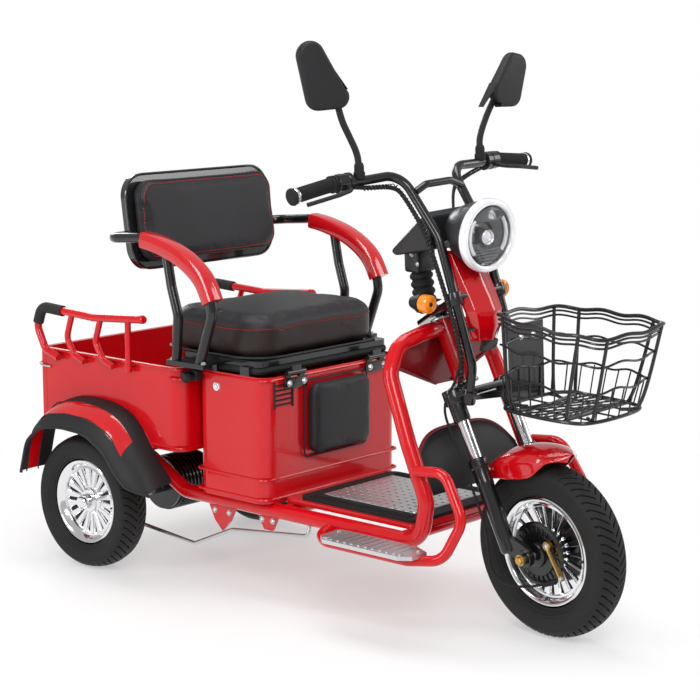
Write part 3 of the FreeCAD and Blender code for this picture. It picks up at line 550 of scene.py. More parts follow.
def stuffed(name, bm, body, node, hide, cap, rests, voxel=0.006):
    """Remeshes a closed form, swells it as cloth over foam, and keeps it off the plane it rests on."""
    mesh = bpy.data.meshes.new(name)
    bm.to_mesh(mesh)
    bm.free()
    made = bpy.data.objects.new(name, mesh)
    bpy.context.collection.objects.link(made)
    remesh = made.modifiers.new("remesh", "REMESH")
    remesh.mode = "VOXEL"
    remesh.voxel_size = voxel
    remesh.use_smooth_shade = True
    grown = bpy.data.meshes.new_from_object(made.evaluated_get(bpy.context.evaluated_depsgraph_get()))
    made.modifiers.clear()
    made.data = grown
    start = [v.co.copy() for v in grown.vertices]
    cloth = made.modifiers.new("swell", "CLOTH")
    cloth.settings.quality = 5
    cloth.settings.use_pressure = True
    cloth.settings.uniform_pressure_force = 4.0
    cloth.settings.effector_weights.gravity = 0.0
    cloth.settings.tension_stiffness = cloth.settings.compression_stiffness = 12.0
    cloth.point_cache.frame_start = 1
    cloth.point_cache.frame_end = 20
    for count in range(1, 21):
        bpy.context.scene.frame_set(count)
    posed = made.evaluated_get(bpy.context.evaluated_depsgraph_get()).to_mesh()
    moved = [v.co.copy() for v in posed.vertices]
    made.modifiers.clear()
    bpy.context.scene.frame_set(1)
    on, normal = rests
    for vert, old, new in zip(grown.vertices, start, moved):
        step = new - old
        if step.length > cap:
            step *= cap / step.length
        new = old + step
        below = (new - on).dot(normal)
        vert.co = new - normal * below if below < 0 else new
    for polygon in grown.polygons:
        polygon.use_smooth = True
    grown.materials.clear()
    grown.materials.append(hide)
    fine = made.modifiers.new("round", "SUBSURF")
    fine.levels = fine.render_levels = 1
    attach(made, body)
    if node:
        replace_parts(made, node)
    return made


def pad_form(size, corner, edge, matrix, axis):
    """A block with its corners rounded about one axis, then softened on every edge."""
    bm = bmesh.new()
    bmesh.ops.create_cube(bm, size=1.0, matrix=Matrix.Diagonal((*size, 1.0)))
    corners = [e for e in bm.edges if abs((e.verts[0].co - e.verts[1].co).normalized()[axis]) > 0.9]
    bmesh.ops.bevel(bm, geom=corners, offset=corner, segments=8, profile=0.5, affect="EDGES", material=-1)
    rest = [e for e in bm.edges if abs((e.verts[0].co - e.verts[1].co).normalized()[axis]) < 0.5]
    rims = [e for e in rest if len({round(f.normal[axis]) for f in e.link_faces}) > 1]
    bmesh.ops.bevel(bm, geom=rims, offset=edge, segments=3, profile=0.5, affect="EDGES", material=-1)
    bmesh.ops.transform(bm, matrix=matrix, verts=bm.verts)
    return bm


calf_form = pad_form((0.026, 0.222, 0.18), 0.03, 0.008, Matrix.Translation(spot(0.581, 0, 0.435)), 0)
stuffed("calf_cushion", calf_form, "chassis", "calf_pad", black_hide, 0.004,
        (spot(0.5633, 0, 0), Vector((1, 0, 0))), voxel=0.005)
wires("calf_piping", [round_corners([spot(0.569, y, z) for y, z in ((-0.117, 0.339), (0.117, 0.339),
                                                                   (0.117, 0.531), (-0.117, 0.531))], 0.034)],
      0.0022, "chassis", black_hide, closed=True)


# Cargo bed: deep-pressed red steel tub with a rolled lip, a bead above the foot and wells for the wheels.
# The tailgate is a flat pressed panel on two barrel hinges, held by bent-wire hooks.
dress("cargo_bed", red_enamel)
dress("tailgate", red_enamel)
dress("tailgate_hinges", red_enamel)
BED_Y, LIP_Z = 0.298, 0.5525
lip_line = [spot(-0.184, -BED_Y - 0.004, LIP_Z), spot(0.1, -BED_Y - 0.004, LIP_Z)]
corner_line = round_corners([spot(0.1, -BED_Y - 0.004, LIP_Z), spot(0.322, -BED_Y - 0.004, LIP_Z),
                             spot(0.322, BED_Y + 0.004, LIP_Z), spot(0.1, BED_Y + 0.004, LIP_Z)], 0.037)[3:9]
wires("bed_lip", [lip_line + corner_line + [spot(0.1, BED_Y + 0.004, LIP_Z),
                                            spot(-0.184, BED_Y + 0.004, LIP_Z)]],
      0.0045, "chassis", red_enamel)
front_bead = round_corners([spot(0.21, -BED_Y, 0.352), spot(0.318, -BED_Y, 0.352), spot(0.318, BED_Y, 0.352),
                            spot(0.21, BED_Y, 0.352)], 0.034)[3:9]
wires("bed_foot_bead", [[spot(0.2, -BED_Y, 0.352)] + front_bead + [spot(0.2, BED_Y, 0.352)]], 0.004,
      "chassis", red_enamel)
wires("gate_bead", [round_corners([spot(-0.203, y, z) for y, z in ((-0.27, 0.37), (0.27, 0.37), (0.27, 0.535),
                                                                  (-0.27, 0.535))], 0.03)],
      0.003, "tailgate", red_enamel, closed=True)
for side, word in ((-1, "right"), (1, "left")):
    wires("gate_hook_" + word,
          [[spot(-0.166, side * 0.301, 0.505), spot(-0.182, side * 0.305, 0.505),
            spot(-0.2, side * 0.305, 0.507),
            spot(-0.2055, side * 0.303, 0.514), spot(-0.2055, side * 0.29, 0.516)]], 0.0028, "chassis", zinc)
    wires("bed_hook_" + word,
          [[spot(0.285, side * 0.3, 0.53), spot(0.296, side * 0.306, 0.53), spot(0.318, side * 0.3, 0.528),
            spot(0.325, side * 0.286, 0.527), spot(0.32, side * 0.272, 0.52)]], 0.0028, "chassis", red_enamel)


# Bed rails: red tube on hooked posts, capped in front, with dark foam sleeves on the rear corners.
dress("bed_rails", red_enamel)
foam = finish("closed_foam", (0.011, 0.011, 0.012), (0.020, 0.019, 0.020), 0.8, 0.1, 900.0, 0.0005)
dress("rail_sleeves", foam)
rail_caps = bmesh.new()
for side in (-1, 1):
    lathe(rail_caps, [(0, 0), (0.0108, 0), (0.0108, 0.012), (0.009, 0.016), (0, 0.017)],
          facing(spot(0.195, side * 0.313, 0.6673), (1, 0, 0.07)), 20)
piece("rail_caps", rail_caps, "chassis", red_enamel)


# Rear fenders: moulded plastic arches in three bands, a dark crown, a glossy red middle and a dark lip
# with a raised bead; the front foot flares out to shield the step.
red_gloss = finish("red_moulding", (0.58, 0.001, 0.006), (0.52, 0.001, 0.005), 0.12, 0.05, 500.0, 0.00003,
                   Specular_IOR_Level=0.3, Coat_Weight=1.0, Coat_Roughness=0.02)
ARCH = [  # x at the bed side, x at the lip, z at the bed side, z at the lip
    (-0.176, -0.190, 0.236, 0.232), (-0.150, -0.164, 0.372, 0.318), (-0.096, -0.110, 0.432, 0.362),
    (-0.020, -0.030, 0.446, 0.372), (0.070, 0.062, 0.444, 0.368), (0.150, 0.134, 0.424, 0.330),
    (0.196, 0.178, 0.372, 0.280), (0.232, 0.214, 0.316, 0.252), (0.300, 0.300, 0.262, 0.246)]
ACROSS = [(0.2986, 0.0), (0.322, 0.04), (0.343, 0.12), (0.362, 0.27), (0.377, 0.5), (0.387, 0.76),
          (0.3905, 1.0)]


def arch_place(along, across, side, lift=0.0):
    """A point on the arch, by the numbers of its row and column in the two tables."""
    low = min(int(along), len(ARCH) - 2)
    k = along - low
    inner_x, lip_x, inner_z, lip_z = (a + (b - a) * k for a, b in zip(ARCH[low], ARCH[low + 1]))
    row = min(int(across), len(ACROSS) - 2)
    m = across - row
    y, part = (a + (b - a) * m for a, b in zip(ACROSS[row], ACROSS[row + 1]))
    place = Vector((inner_x + (lip_x - inner_x) * part, y, inner_z + (lip_z - inner_z) * part))
    out = (place - Vector((0.04, 0.2, 0.2))).normalized() * lift
    place += out
    return spot(place.x, side * place.y, place.z)


for side, word in ((-1, "right"), (1, "left")):
    arch = bmesh.new()
    bmesh.ops.create_grid(arch, x_segments=len(ARCH) - 1, y_segments=len(ACROSS) - 1, size=0.5)
    for vert in arch.verts:
        vert.co = arch_place((vert.co.x + 0.5) * (len(ARCH) - 1), (vert.co.y + 0.5) * (len(ACROSS) - 1), side)
    guard = piece("rear_fender_" + word, arch, "chassis", grained_plastic, smooth=0)
    guard.data.materials.append(red_gloss)
    for polygon in guard.data.polygons:
        middle = abs(polygon.center.y)
        ahead = polygon.center.x - spot(0.0, 0.0, 0.0).x
        polygon.material_index = 1 if 0.340 < middle < 0.378 and ahead < 0.20 else 0
    body_shell = guard.modifiers.new("wall", "SOLIDIFY")
    body_shell.thickness = 0.003
    body_shell.offset = -1.0 if side < 0 else 1.0
    rounder = guard.modifiers.new("smooth", "SUBSURF")
    rounder.levels = rounder.render_levels = 3
    if side < 0:
        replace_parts(guard, "rear_fenders")
    seams = [[arch_place(n / 2, row, side, lift) for n in range(2 * len(ARCH) - 1)]
             for row, lift in ((5.9, 0.0008), (4.0, 0.0002), (2.0, 0.0002))]
    wires("fender_bead_" + word, seams[:1], 0.0042, "chassis", grained_plastic)
    wires("fender_seams_" + word, seams[1:], 0.0018, "chassis", grained_plastic)


# Rear axle: cast motor and gear case between drum brakes, in black paint, on two coil-over springs.
# Its grey edge colour is a painted highlight on convex edges, partly wear.
black_enamel = finish("black_enamel", (0.005, 0.005, 0.006), (0.008, 0.008, 0.009), 0.2, 0.1, 700.0, 0.00004,
                      Specular_IOR_Level=0.35,
                      edge_sheen_and_wear=0.3, edge_sheen_and_wear_colour=(0.08, 0.08, 0.08), Coat_Weight=0.5, Coat_Roughness=0.08)
dress("rear_axle", black_enamel)
fins = bmesh.new()
for side in (-1, 1):
    for count in range(4):
        y = side * (0.228 + 0.009 * count)
        lathe(fins, [(0.062, -0.0015), (0.071, -0.0012), (0.071, 0.0012), (0.062, 0.0015)],
              facing(spot(0, y, 0.174), (0, 1, 0)), 48, ring=True)
for count in range(9):
    lathe(fins, [(0.066, -0.0015), (0.0745, -0.001), (0.0745, 0.001), (0.066, 0.0015)],
          facing(spot(0, -0.052 + 0.013 * count, 0.174), (0, 1, 0)), 48, ring=True)
piece("axle_fins", fins, "chassis", black_enamel)
coil_lines = []
for side in (-1, 1):
    coil_lines.append([spot(0.021 * math.cos(n * math.tau / 8),
                            side * 0.1932 + 0.021 * math.sin(n * math.tau / 8),
                            0.203 + 0.0017 * n) for n in range(42)])
coils = wires("spring_coils", coil_lines, 0.0042, "chassis", black_enamel, fine=3)
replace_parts(coils, "rear_springs")
dampers = bmesh.new()
for side in (-1, 1):
    lathe(dampers, [(0, 0), (0.024, 0), (0.024, 0.004), (0.013, 0.006), (0.013, 0.045), (0.008, 0.047),
                    (0.008, 0.078), (0, 0.078)], facing(spot(0, side * 0.1932, 0.1985), (0, 0, 1)), 24)
piece("spring_dampers", dampers, "chassis", zinc)
dress("brake_rod", zinc)


# Tyres: black road tyres with a ribbed sidewall and slanted tread bars that meet at the middle.
def wheel_place(name):
    return Vector(joints[name]["pos_m"])


TYRE_HALF = 0.043
tyre_rubber = finish("tyre_rubber", (0.009, 0.009, 0.009), (0.014, 0.0137, 0.0133), 0.55, 0.2, 1800.0,
                     0.00012, Specular_IOR_Level=0.3)


def tyre_mesh(tyre_r, rim_r, bars):
    """A tyre round Z: the carcass is spun, its tread bars are cut between, then swept into a slant."""
    bm = bmesh.new()
    wall, half, per_bar = tyre_r - rim_r, TYRE_HALF, 4
    side_wall = [(rim_r, 0.66), (rim_r + wall * 0.06, 0.70), (rim_r + wall * 0.08, 0.76),
                 (rim_r + wall * 0.2, 0.87),
                 (rim_r + wall * 0.22, 0.905), (rim_r + wall * 0.27, 0.905), (rim_r + wall * 0.29, 0.93),
                 (rim_r + wall * 0.5, 1.0), (rim_r + wall * 0.68, 0.97), (rim_r + wall * 0.7, 0.985),
                 (rim_r + wall * 0.76, 0.955)]
    tread = [(rim_r + wall * 0.82, 0.88), (rim_r + wall * 0.9, 0.72), (tyre_r - 0.0035, 0.52),
             (tyre_r - 0.0014, 0.34), (tyre_r - 0.0004, 0.16), (tyre_r, 0.05)]
    right = [(r, -y * half) for r, y in side_wall + tread]
    profile = right + [(r, -y) for r, y in reversed(right)]
    verts = [bm.verts.new((radius, 0.0, height)) for radius, height in profile]
    edges = [bm.edges.new(pair) for pair in zip(verts, verts[1:])]
    steps = bars * per_bar
    bmesh.ops.spin(bm, geom=verts + edges, cent=(0, 0, 0), axis=(0, 0, 1), angle=math.tau, steps=steps,
                   use_merge=True)
    bmesh.ops.remove_doubles(bm, verts=bm.verts, dist=0.00001)
    bmesh.ops.recalc_face_normals(bm, faces=bm.faces)
    grooves = []
    for face in bm.faces:
        middle = face.calc_center_median()
        radius = math.hypot(middle.x, middle.y)
        if radius < rim_r + wall * 0.8 or abs(middle.z) < half * 0.07:
            continue
        step = int(math.atan2(middle.y, middle.x) % math.tau / math.tau * steps)
        if (step + (2 if middle.z > 0 else 0)) % per_bar == 0:
            grooves.append(face)
    bmesh.ops.inset_region(bm, faces=grooves, thickness=0.0006, depth=-0.0042, use_even_offset=True)
    for vert in bm.verts:
        slant = min(abs(vert.co.z), half * 0.9) / tyre_r * 0.85
        radius = math.hypot(vert.co.x, vert.co.y)
        if radius > rim_r + wall * 0.5:
            share = min(1.0, (radius - rim_r - wall * 0.5) / (wall * 0.35))
            vert.co = Matrix.Rotation(slant * share, 3, "Z") @ vert.co
    return bm


# Rims: pressed and chromed steel discs with a deep polished lip, radial slots and a domed hub.
chrome = finish("chrome", (0.86, 0.86, 0.87), (0.8, 0.8, 0.82), 0.07, 0.08, 300.0, 0.00001, Metallic=1.0)
# Near-black finish: painted shade in the rim and plate slots, and the dark middles of the signal lenses.
painted_hole_shade_and_lens_centre = finish("painted_hole_shade_and_lens_centres", (0.006, 0.006, 0.006), (0.01, 0.01, 0.01), 0.7, 0.1, 900.0, 0.00005)


def rim_mesh(rim_r, slots, hub_r, hub_out, face_y):
    """A rim round Z with its outer face towards +Z; slots are pressed in between the spokes, their floors
    painted near-black as the shade of the holes.
    """
    bm = bmesh.new()
    half = TYRE_HALF * 0.66
    r = rim_r - 0.0004
    profile = [(0.0, hub_out), (hub_r * 0.42, hub_out), (hub_r * 0.52, hub_out - 0.003),
               (hub_r * 0.62, hub_out - 0.012),
               (hub_r * 0.66, face_y + 0.008), (hub_r * 0.95, face_y + 0.007), (hub_r, face_y + 0.003),
               (hub_r * 1.12, face_y), (rim_r * 0.5, face_y + 0.001), (r - 0.027, face_y + 0.004),
               (r - 0.025, face_y + 0.008), (r - 0.020, face_y + 0.007), (r - 0.016, face_y + 0.012),
               (r - 0.0125, half - 0.004), (r - 0.009, half - 0.001), (r - 0.004, half), (r, half - 0.003),
               (r, -half + 0.002), (r - 0.003, -half), (r - 0.012, -half + 0.001), (r - 0.015, -half * 0.5),
               (r - 0.03, face_y - 0.012), (hub_r, face_y - 0.012), (hub_r, -half * 0.9), (0.0, -half * 0.9)]
    verts = [bm.verts.new((radius, 0.0, height)) for radius, height in profile]
    edges = [bm.edges.new(pair) for pair in zip(verts, verts[1:])]
    per_slot = 4
    steps = slots * per_slot
    bmesh.ops.spin(bm, geom=verts + edges, cent=(0, 0, 0), axis=(0, 0, 1), angle=math.tau, steps=steps,
                   use_merge=True)
    bmesh.ops.remove_doubles(bm, verts=bm.verts, dist=0.00001)
    bmesh.ops.recalc_face_normals(bm, faces=bm.faces)
    cuts = []
    for face in bm.faces:
        middle = face.calc_center_median()
        radius = math.hypot(middle.x, middle.y)
        if hub_r * 1.13 < radius < r - 0.027 and middle.z > face_y - 0.004:
            step = int(math.atan2(middle.y, middle.x) % math.tau / math.tau * steps)
            if step % per_slot in (0, 1):
                cuts.append(face)
    bmesh.ops.inset_region(bm, faces=cuts, thickness=0.0022, depth=-0.0035, use_even_offset=True)
    bmesh.ops.inset_region(bm, faces=cuts, thickness=0.0006, depth=-0.004, use_even_offset=True)
    # The slot floors get the near-black material: painted shade where the holes would show through.
    for face in cuts:
        face.material_index = 1
    return bm


# joint, tyre node, rim node, tyre radius, rim radius, body, outward side, tread bars, slots, hub radius,
# how far the hub stands out, how far the face stands out
WHEELS = [
    ("front_wheel_spin", "front_tyre", "front_rim", 0.205, 0.131, "front_wheel", -1, 60, 20, 0.044, 0.030,
     0.006),
    ("rear_wheel_right_spin", "rear_tyre_right", "rear_rim_right", 0.174, 0.112, "rear_wheel_right", -1, 52,
     18, 0.030, 0.044, 0.008),
    ("rear_wheel_left_spin", "rear_tyre_left", "rear_rim_left", 0.174, 0.112, "rear_wheel_left", 1, 52, 18,
     0.030, 0.044, 0.008)]
for joint, tyre_node, rim_node, tyre_r, rim_r, body, side, bars, slots, hub_r, hub_out, face_y in WHEELS:
    axle = Vector(joints[joint]["axis"]) * side
    where = facing(wheel_place(joint), axle)
    carcass = tyre_mesh(tyre_r, rim_r, bars)
    bmesh.ops.transform(carcass, matrix=where, verts=carcass.verts)
    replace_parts(piece(tyre_node + "_treaded", carcass, body, tyre_rubber, 25.0), tyre_node)
    disc = rim_mesh(rim_r, slots, hub_r, hub_out, face_y)
    bmesh.ops.transform(disc, matrix=where, verts=disc.verts)
    pressed = piece(rim_node + "_pressed", disc, body, chrome, 35.0)
    pressed.data.materials.append(painted_hole_shade_and_lens_centre)
    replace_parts(pressed, rim_node)
    valve = bmesh.new()
    lathe(valve, [(0.0, 0.026), (0.0022, 0.026), (0.0026, 0.02), (0.0026, 0.0), (0.0, 0.0)],
          where @ Matrix.Translation((0.6 * rim_r + 0.03, 0.0, face_y)) @ Matrix.Rotation(0.35, 4, "Y"), 12)
    piece(tyre_node + "_valve", valve, body, rubber)


# Hub nuts: domed brass-coloured axle nuts and plated washers.
brass = finish("brass", (0.62, 0.40, 0.12), (0.5, 0.31, 0.09), 0.25, 0.2, 800.0, 0.00004, Metallic=1.0)
dress("front_axle", zinc)
hub_nuts = bmesh.new()
for s in (-1, 1):
    bolt(hub_nuts, spot(1.24, s * 0.104, 0.205), (0, s, 0), 0.012)
piece("front_axle_nuts", hub_nuts, "steering", brass, turned=True)


# Fork: pressed crown and clamp in black, chromed stanchions under short shrouds, black sliders with lugs.
rake = math.radians(26.0)
up_axis = Vector((-math.sin(rake), 0.0, math.cos(rake)))
ahead_axis = Vector((math.cos(rake), 0.0, math.sin(rake)))


def on_axis(up, ahead, y=0.0):
    """A point measured in metres along the steering axis and straight ahead of it."""
    return spot(0.95, 0, 0.62) + up_axis * up + ahead_axis * ahead + Vector((0, y, 0))


def joined_discs(bm, discs, low, high):
    """A plate square to the steering axis whose outline wraps round several discs."""
    verts = []
    for ahead, y, radius in discs:
        for up in (low, high):
            verts += bmesh.ops.create_circle(bm, segments=24, radius=radius,
                                             matrix=facing(on_axis(up, ahead, y), up_axis))["verts"]
    hull = bmesh.ops.convex_hull(bm, input=verts)
    bmesh.ops.delete(bm, geom=[v for v in hull["geom_interior"] if isinstance(v, bmesh.types.BMVert)],
                     context="VERTS")


crown = bmesh.new()
riser = Vector((-0.095, 0, 0.290)).normalized()
joined_discs(crown, [(0.0, 0.0, 0.032)] + [(0.036, s * 0.085, 0.023) for s in (-1, 1)]
             + [(0.064, s * 0.070, 0.017) for s in (-1, 1)], -0.104, -0.090)
joined_discs(crown, [(-0.046, 0.0, 0.030)] + [(0.134, s * 0.0705, 0.018) for s in (-1, 1)], 0.104, 0.114)
bmesh.ops.dissolve_limit(crown, angle_limit=0.02, verts=crown.verts[:], edges=crown.edges[:])
soften(crown, 0.0015, 2)
lathe(crown, [(0, -0.112), (0.015, -0.112), (0.015, 0.128), (0, 0.128)], facing(on_axis(0, 0), up_axis), 32)
for s in (-1, 1):
    lathe(crown, [(0.0135, -0.018), (0.024, -0.018), (0.0255, -0.015), (0.0255, 0.015), (0.024, 0.018),
                  (0.0135, 0.018)], facing(on_axis(-0.097, 0.036, s * 0.085), up_axis), 40, ring=True)
    lathe(crown, [(0.0105, -0.015), (0.0165, -0.015), (0.0175, -0.0125), (0.0175, 0.0125), (0.0165, 0.015),
                  (0.0105, 0.015)], facing(on_axis(0.109, 0.1346, s * 0.0705), riser), 32, ring=True)
    lathe(crown, [(0, 0.0), (0.016, 0.0), (0.017, 0.003), (0.017, 0.028), (0.0155, 0.031), (0.0105, 0.031)],
          facing(spot(1.0545, s * 0.070, 0.536), Vector((0.017, 0, 0.081))), 32)
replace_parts(piece("cast_crown", crown, "steering", black_enamel, turned=True), "fork_crown")
cups = bmesh.new()
for up, turn in ((-0.062, -1), (0.092, 1)):
    lathe(cups, [(0.018, 0.0), (0.030, 0.0), (0.0315, 0.002), (0.0315, 0.0055), (0.028, 0.008),
                 (0.019, 0.009)], facing(on_axis(up, 0), up_axis * turn), 40)
piece("head_cups", cups, "chassis", zinc)
shrouds, stanchions, sliders = bmesh.new(), bmesh.new(), bmesh.new()
LEG_AHEAD, LEG_Y, AXLE_X, AXLE_Z = 0.036, 0.085, 1.24, 0.205
for s in (-1, 1):
    where = facing(on_axis(-0.4755, LEG_AHEAD, s * LEG_Y), up_axis)
    lathe(sliders, [(0, 0), (0.016, 0), (0.0195, 0.006), (0.0195, 0.16), (0.0205, 0.165), (0.0205, 0.172),
                    (0.0195, 0.177),
                    (0.0195, 0.204), (0.0225, 0.207), (0.0225, 0.222), (0.018, 0.228), (0.0, 0.228)], where,
          32)
    lathe(stanchions, [(0.0142, 0.2), (0.0142, 0.33)], where, 32)
    lathe(shrouds, [(0.014, 0.318), (0.019, 0.319), (0.0205, 0.324), (0.0205, 0.366), (0.014, 0.3675)],
          where, 32)
    lug = bmesh.new()
    outline = [on_axis(up, ahead) for up, ahead in ((-0.428, LEG_AHEAD + 0.004), (-0.462, 0.082),
                                                    (-0.486, 0.102), (-0.505, 0.094), (-0.509, 0.072),
                                                    (-0.474, LEG_AHEAD - 0.006))]
    web = lug.faces.new([lug.verts.new((p.x, s * LEG_Y - 0.007, p.z)) for p in outline])
    raised = bmesh.ops.extrude_face_region(lug, geom=[web])
    bmesh.ops.translate(lug, vec=(0, 0.014, 0), verts=[v for v in raised["geom"] if isinstance(v,
            bmesh.types.BMVert)])
    bmesh.ops.recalc_face_normals(lug, faces=lug.faces)
    bmesh.ops.bevel(lug, geom=lug.edges[:], offset=0.0012, segments=1, profile=0.5, affect="EDGES",
                    material=-1, clamp_overlap=True)
    lathe(lug, [(0, -0.0095), (0.019, -0.0095), (0.0205, -0.007), (0.0205, 0.007), (0.019, 0.0095),
                (0, 0.0095)], facing(spot(AXLE_X, s * LEG_Y, AXLE_Z), (0, 1, 0)), 28)
    piece("fork_lug_right" if s < 0 else "fork_lug_left", lug, "steering", black_enamel, turned=True)
fork = piece("fork_sliders", sliders, "steering", black_enamel, turned=True)
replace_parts(fork, "fork_legs")
piece("fork_stanchions", stanchions, "steering", chrome, turned=True)
piece("fork_shrouds", shrouds, "steering", black_enamel, turned=True)
clamp_bolts = bmesh.new()
for s in (-1, 1):
    bolt(clamp_bolts, on_axis(0.122, 0.02, s * 0.06), up_axis, 0.008)
    bolt(clamp_bolts, on_axis(-0.082, 0.036, s * 0.085), up_axis, 0.010)
piece("fork_bolts", clamp_bolts, "steering", zinc, turned=True)


# Front drum brake: ribbed black back plate on the right, its gold arm and nut, and the cable's rubber boot.
drum = bmesh.new()
plate_where = facing(spot(AXLE_X, -0.0405, AXLE_Z), (0, -1, 0))
lathe(drum, [(0, 0), (0.076, 0), (0.076, 0.004), (0.073, 0.0065), (0.066, 0.0065), (0.064, 0.0045),
             (0.052, 0.0045),
             (0.05, 0.0085), (0.03, 0.0085), (0.028, 0.015), (0.018, 0.02), (0, 0.02)], plate_where, 64)
ribs = bmesh.new()
for count in range(24):
    turn = Matrix.Rotation(count * math.tau / 24, 4, "Z")
    bmesh.ops.create_cube(ribs, size=1.0, matrix=plate_where @ turn @ Matrix.Translation((0.058, 0, 0.006))
                          @ Matrix.Diagonal((0.014, 0.003, 0.004, 1.0)))
soften(ribs, 0.0006)
piece("drum_ribs", ribs, "steering", black_enamel, turned=True)
backing = piece("drum_plate", drum, "steering", black_enamel, turned=True)
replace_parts(backing, "front_brake")
arm = bmesh.new()
pivot, end = spot(AXLE_X + 0.040, -0.058, AXLE_Z + 0.030), spot(AXLE_X + 0.083, -0.058, AXLE_Z - 0.036)
middle = (pivot + end) / 2
bmesh.ops.create_cube(arm, size=1.0, matrix=facing(middle, end - pivot)
                      @ Matrix.Diagonal((0.014, 0.005, (end - pivot).length + 0.014, 1.0)))
soften(arm, 0.0018, 2)
lathe(arm, [(0, 0), (0.011, 0), (0.011, 0.012), (0, 0.012)], facing(pivot + Vector((0, 0.009, 0)),
                                                                    (0, -1, 0)), 24)
piece("brake_arm", arm, "steering", brass, turned=True)
arm_nuts = bmesh.new()
bolt(arm_nuts, pivot + Vector((0, -0.003, 0)), (0, -1, 0), 0.0075)
bolt(arm_nuts, end + Vector((0, -0.003, 0)), (0, -1, 0), 0.006)
piece("brake_arm_nuts", arm_nuts, "steering", zinc, turned=True)
cable_line = [spot(x, y, z) for x, y, z in (
    (1.058, -0.086, 0.660), (1.050, -0.096, 0.600), (1.022, -0.110, 0.550), (1.018, -0.112, 0.512),
                                            (1.040, -0.112, 0.470), (1.062, -0.112, 0.430),
                                            (1.105, -0.112, 0.345), (1.142, -0.112, 0.262),
    (1.148, -0.111, 0.200), (1.150, -0.106, 0.158), (1.176, -0.088, 0.128), (1.224, -0.070, 0.128),
                                            (1.290, -0.061, 0.150), (1.323, -0.061, 0.169))]
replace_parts(wires("cable_sheath", [cable_line], 0.003, "steering", rubber, turned=True), "brake_cable")
boot_ring = bmesh.new()
lathe(boot_ring, [(0.003, 0)] + [(0.0065 - 0.002 * (n % 2), 0.004 + n * 0.004) for n in range(9)] + [(0.003,
        0.042)], facing(spot(AXLE_X + 0.034, -0.0625, AXLE_Z - 0.061), (1, 0, 0.42)), 20)
piece("cable_boot", boot_ring, "steering", rubber, turned=True)


# Handlebar and grips: black bent tube with a brace, ribbed rubber grips with flanged ends.
dress("handlebar", black_enamel)
dress("controls", grained_plastic)
grip_ribs = bmesh.new()
for s in (-1, 1):
    start, stop = spot(0.8363, s * 0.264, 1.0508), spot(0.8298, s * 0.376, 1.0356)
    length = (stop - start).length
    profile = [(0.011, 0.0), (0.0195, 0.0), (0.0205, 0.002), (0.0205, 0.005), (0.016, 0.008)]
    for count in range(14):
        base = 0.012 + count * 0.0066
        profile += [(0.0158, base), (0.0172, base + 0.0012), (0.0172, base + 0.0042), (0.0158, base + 0.0054)]
    profile += [(0.018, length - 0.006), (0.018, length - 0.001), (0.014, length), (0, length)]
    lathe(grip_ribs, profile, facing(start, stop - start), 32)
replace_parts(piece("ribbed_grips", grip_ribs, "steering", rubber, 35.0, turned=True), "grips")
grip_trim = bmesh.new()
for s in (-1, 1):
    start, stop = spot(0.8363, s * 0.264, 1.0508), spot(0.8298, s * 0.376, 1.0356)
    where = facing(stop, stop - start)
    lathe(grip_trim, [(0.012, -0.010), (0.0188, -0.0095), (0.0192, -0.008), (0.0192, -0.004),
                      (0.0188, -0.0025), (0.012, -0.002)], where, 32)
    lathe(grip_trim, [(0.0115, -0.020), (0.0165, -0.020), (0.0168, -0.017), (0.0168, -0.003), (0.0165, 0.0),
                      (0.0115, 0.0)], facing(start, start - stop) @ Matrix.Translation((0, 0, 0.020)), 32)
piece("grip_trim", grip_trim, "steering", chrome, turned=True)
grip_ends = bmesh.new()
for s in (-1, 1):
    start, stop = spot(0.8363, s * 0.264, 1.0508), spot(0.8298, s * 0.376, 1.0356)
    lathe(grip_ends, [(0.012, -0.002), (0.0195, -0.001), (0.0205, 0.002), (0.0195, 0.006), (0.015, 0.0095),
                      (0.0, 0.011)], facing(stop, stop - start), 32)
piece("grip_ends", grip_ends, "steering", rubber, turned=True)
perches = bmesh.new()
for s in (-1, 1):
    where = facing(spot(0.8425, s * 0.216, 1.0517), (-0.06, s, -0.02))
    lathe(perches, [(0.0202, 0.0), (0.0222, 0.001), (0.0222, 0.010), (0.0202, 0.011), (0.0202, 0.02),
                    (0.0218, 0.021), (0.0218, 0.04), (0.0202, 0.042)], where, 32)
    lathe(perches, [(0, 0), (0.006, 0), (0.006, 0.003), (0, 0.003)],
          facing(spot(0.829, s * 0.24, 1.066), (-0.7, 0, 0.7)), 16)
piece("switch_bands", perches, "steering", black_enamel, turned=True)
buttons = bmesh.new()
for s in (-1, 1):
    lathe(buttons, [(0, 0), (0.0052, 0), (0.0052, 0.002), (0.004, 0.003), (0, 0.003)],
          facing(spot(0.826, s * 0.228, 1.0625), (-0.7, 0, 0.7)), 16)
piece("switch_buttons", buttons, "steering", red_gloss, turned=True)


# Cable bundle: the wiring in a spiral wrap down the right riser from the switches to the fork.
bundle_line = [spot(*p) for p in ((0.844, -0.236, 1.044), (0.854, -0.19, 1.034), (0.868, -0.1, 1.03),
                                  (0.892, -0.09, 1.0), (0.95, -0.088, 0.93),
                                  (0.998, -0.089, 0.82), (1.03, -0.089, 0.74), (1.058, -0.09, 0.66),
                                  (1.052, -0.088, 0.585), (1.02, -0.075, 0.54))]
wires("cable_bundle", [bundle_line], 0.0052, "steering", rubber, turned=True)
wrap = []
for low, high in zip(bundle_line[1:-1], bundle_line[2:]):
    run = high - low
    turn = facing(low, run)
    loops = max(2, int(run.length / 0.009))
    for n in range(loops * 6):
        angle = n * math.tau / 6
        wrap.append(turn @ Vector((0.0062 * math.cos(angle), 0.0062 * math.sin(angle),
                                   run.length * n / (loops * 6))))
wires("spiral_wrap", [wrap], 0.0013, "steering", black_enamel, turned=True, sides=1, fine=2)
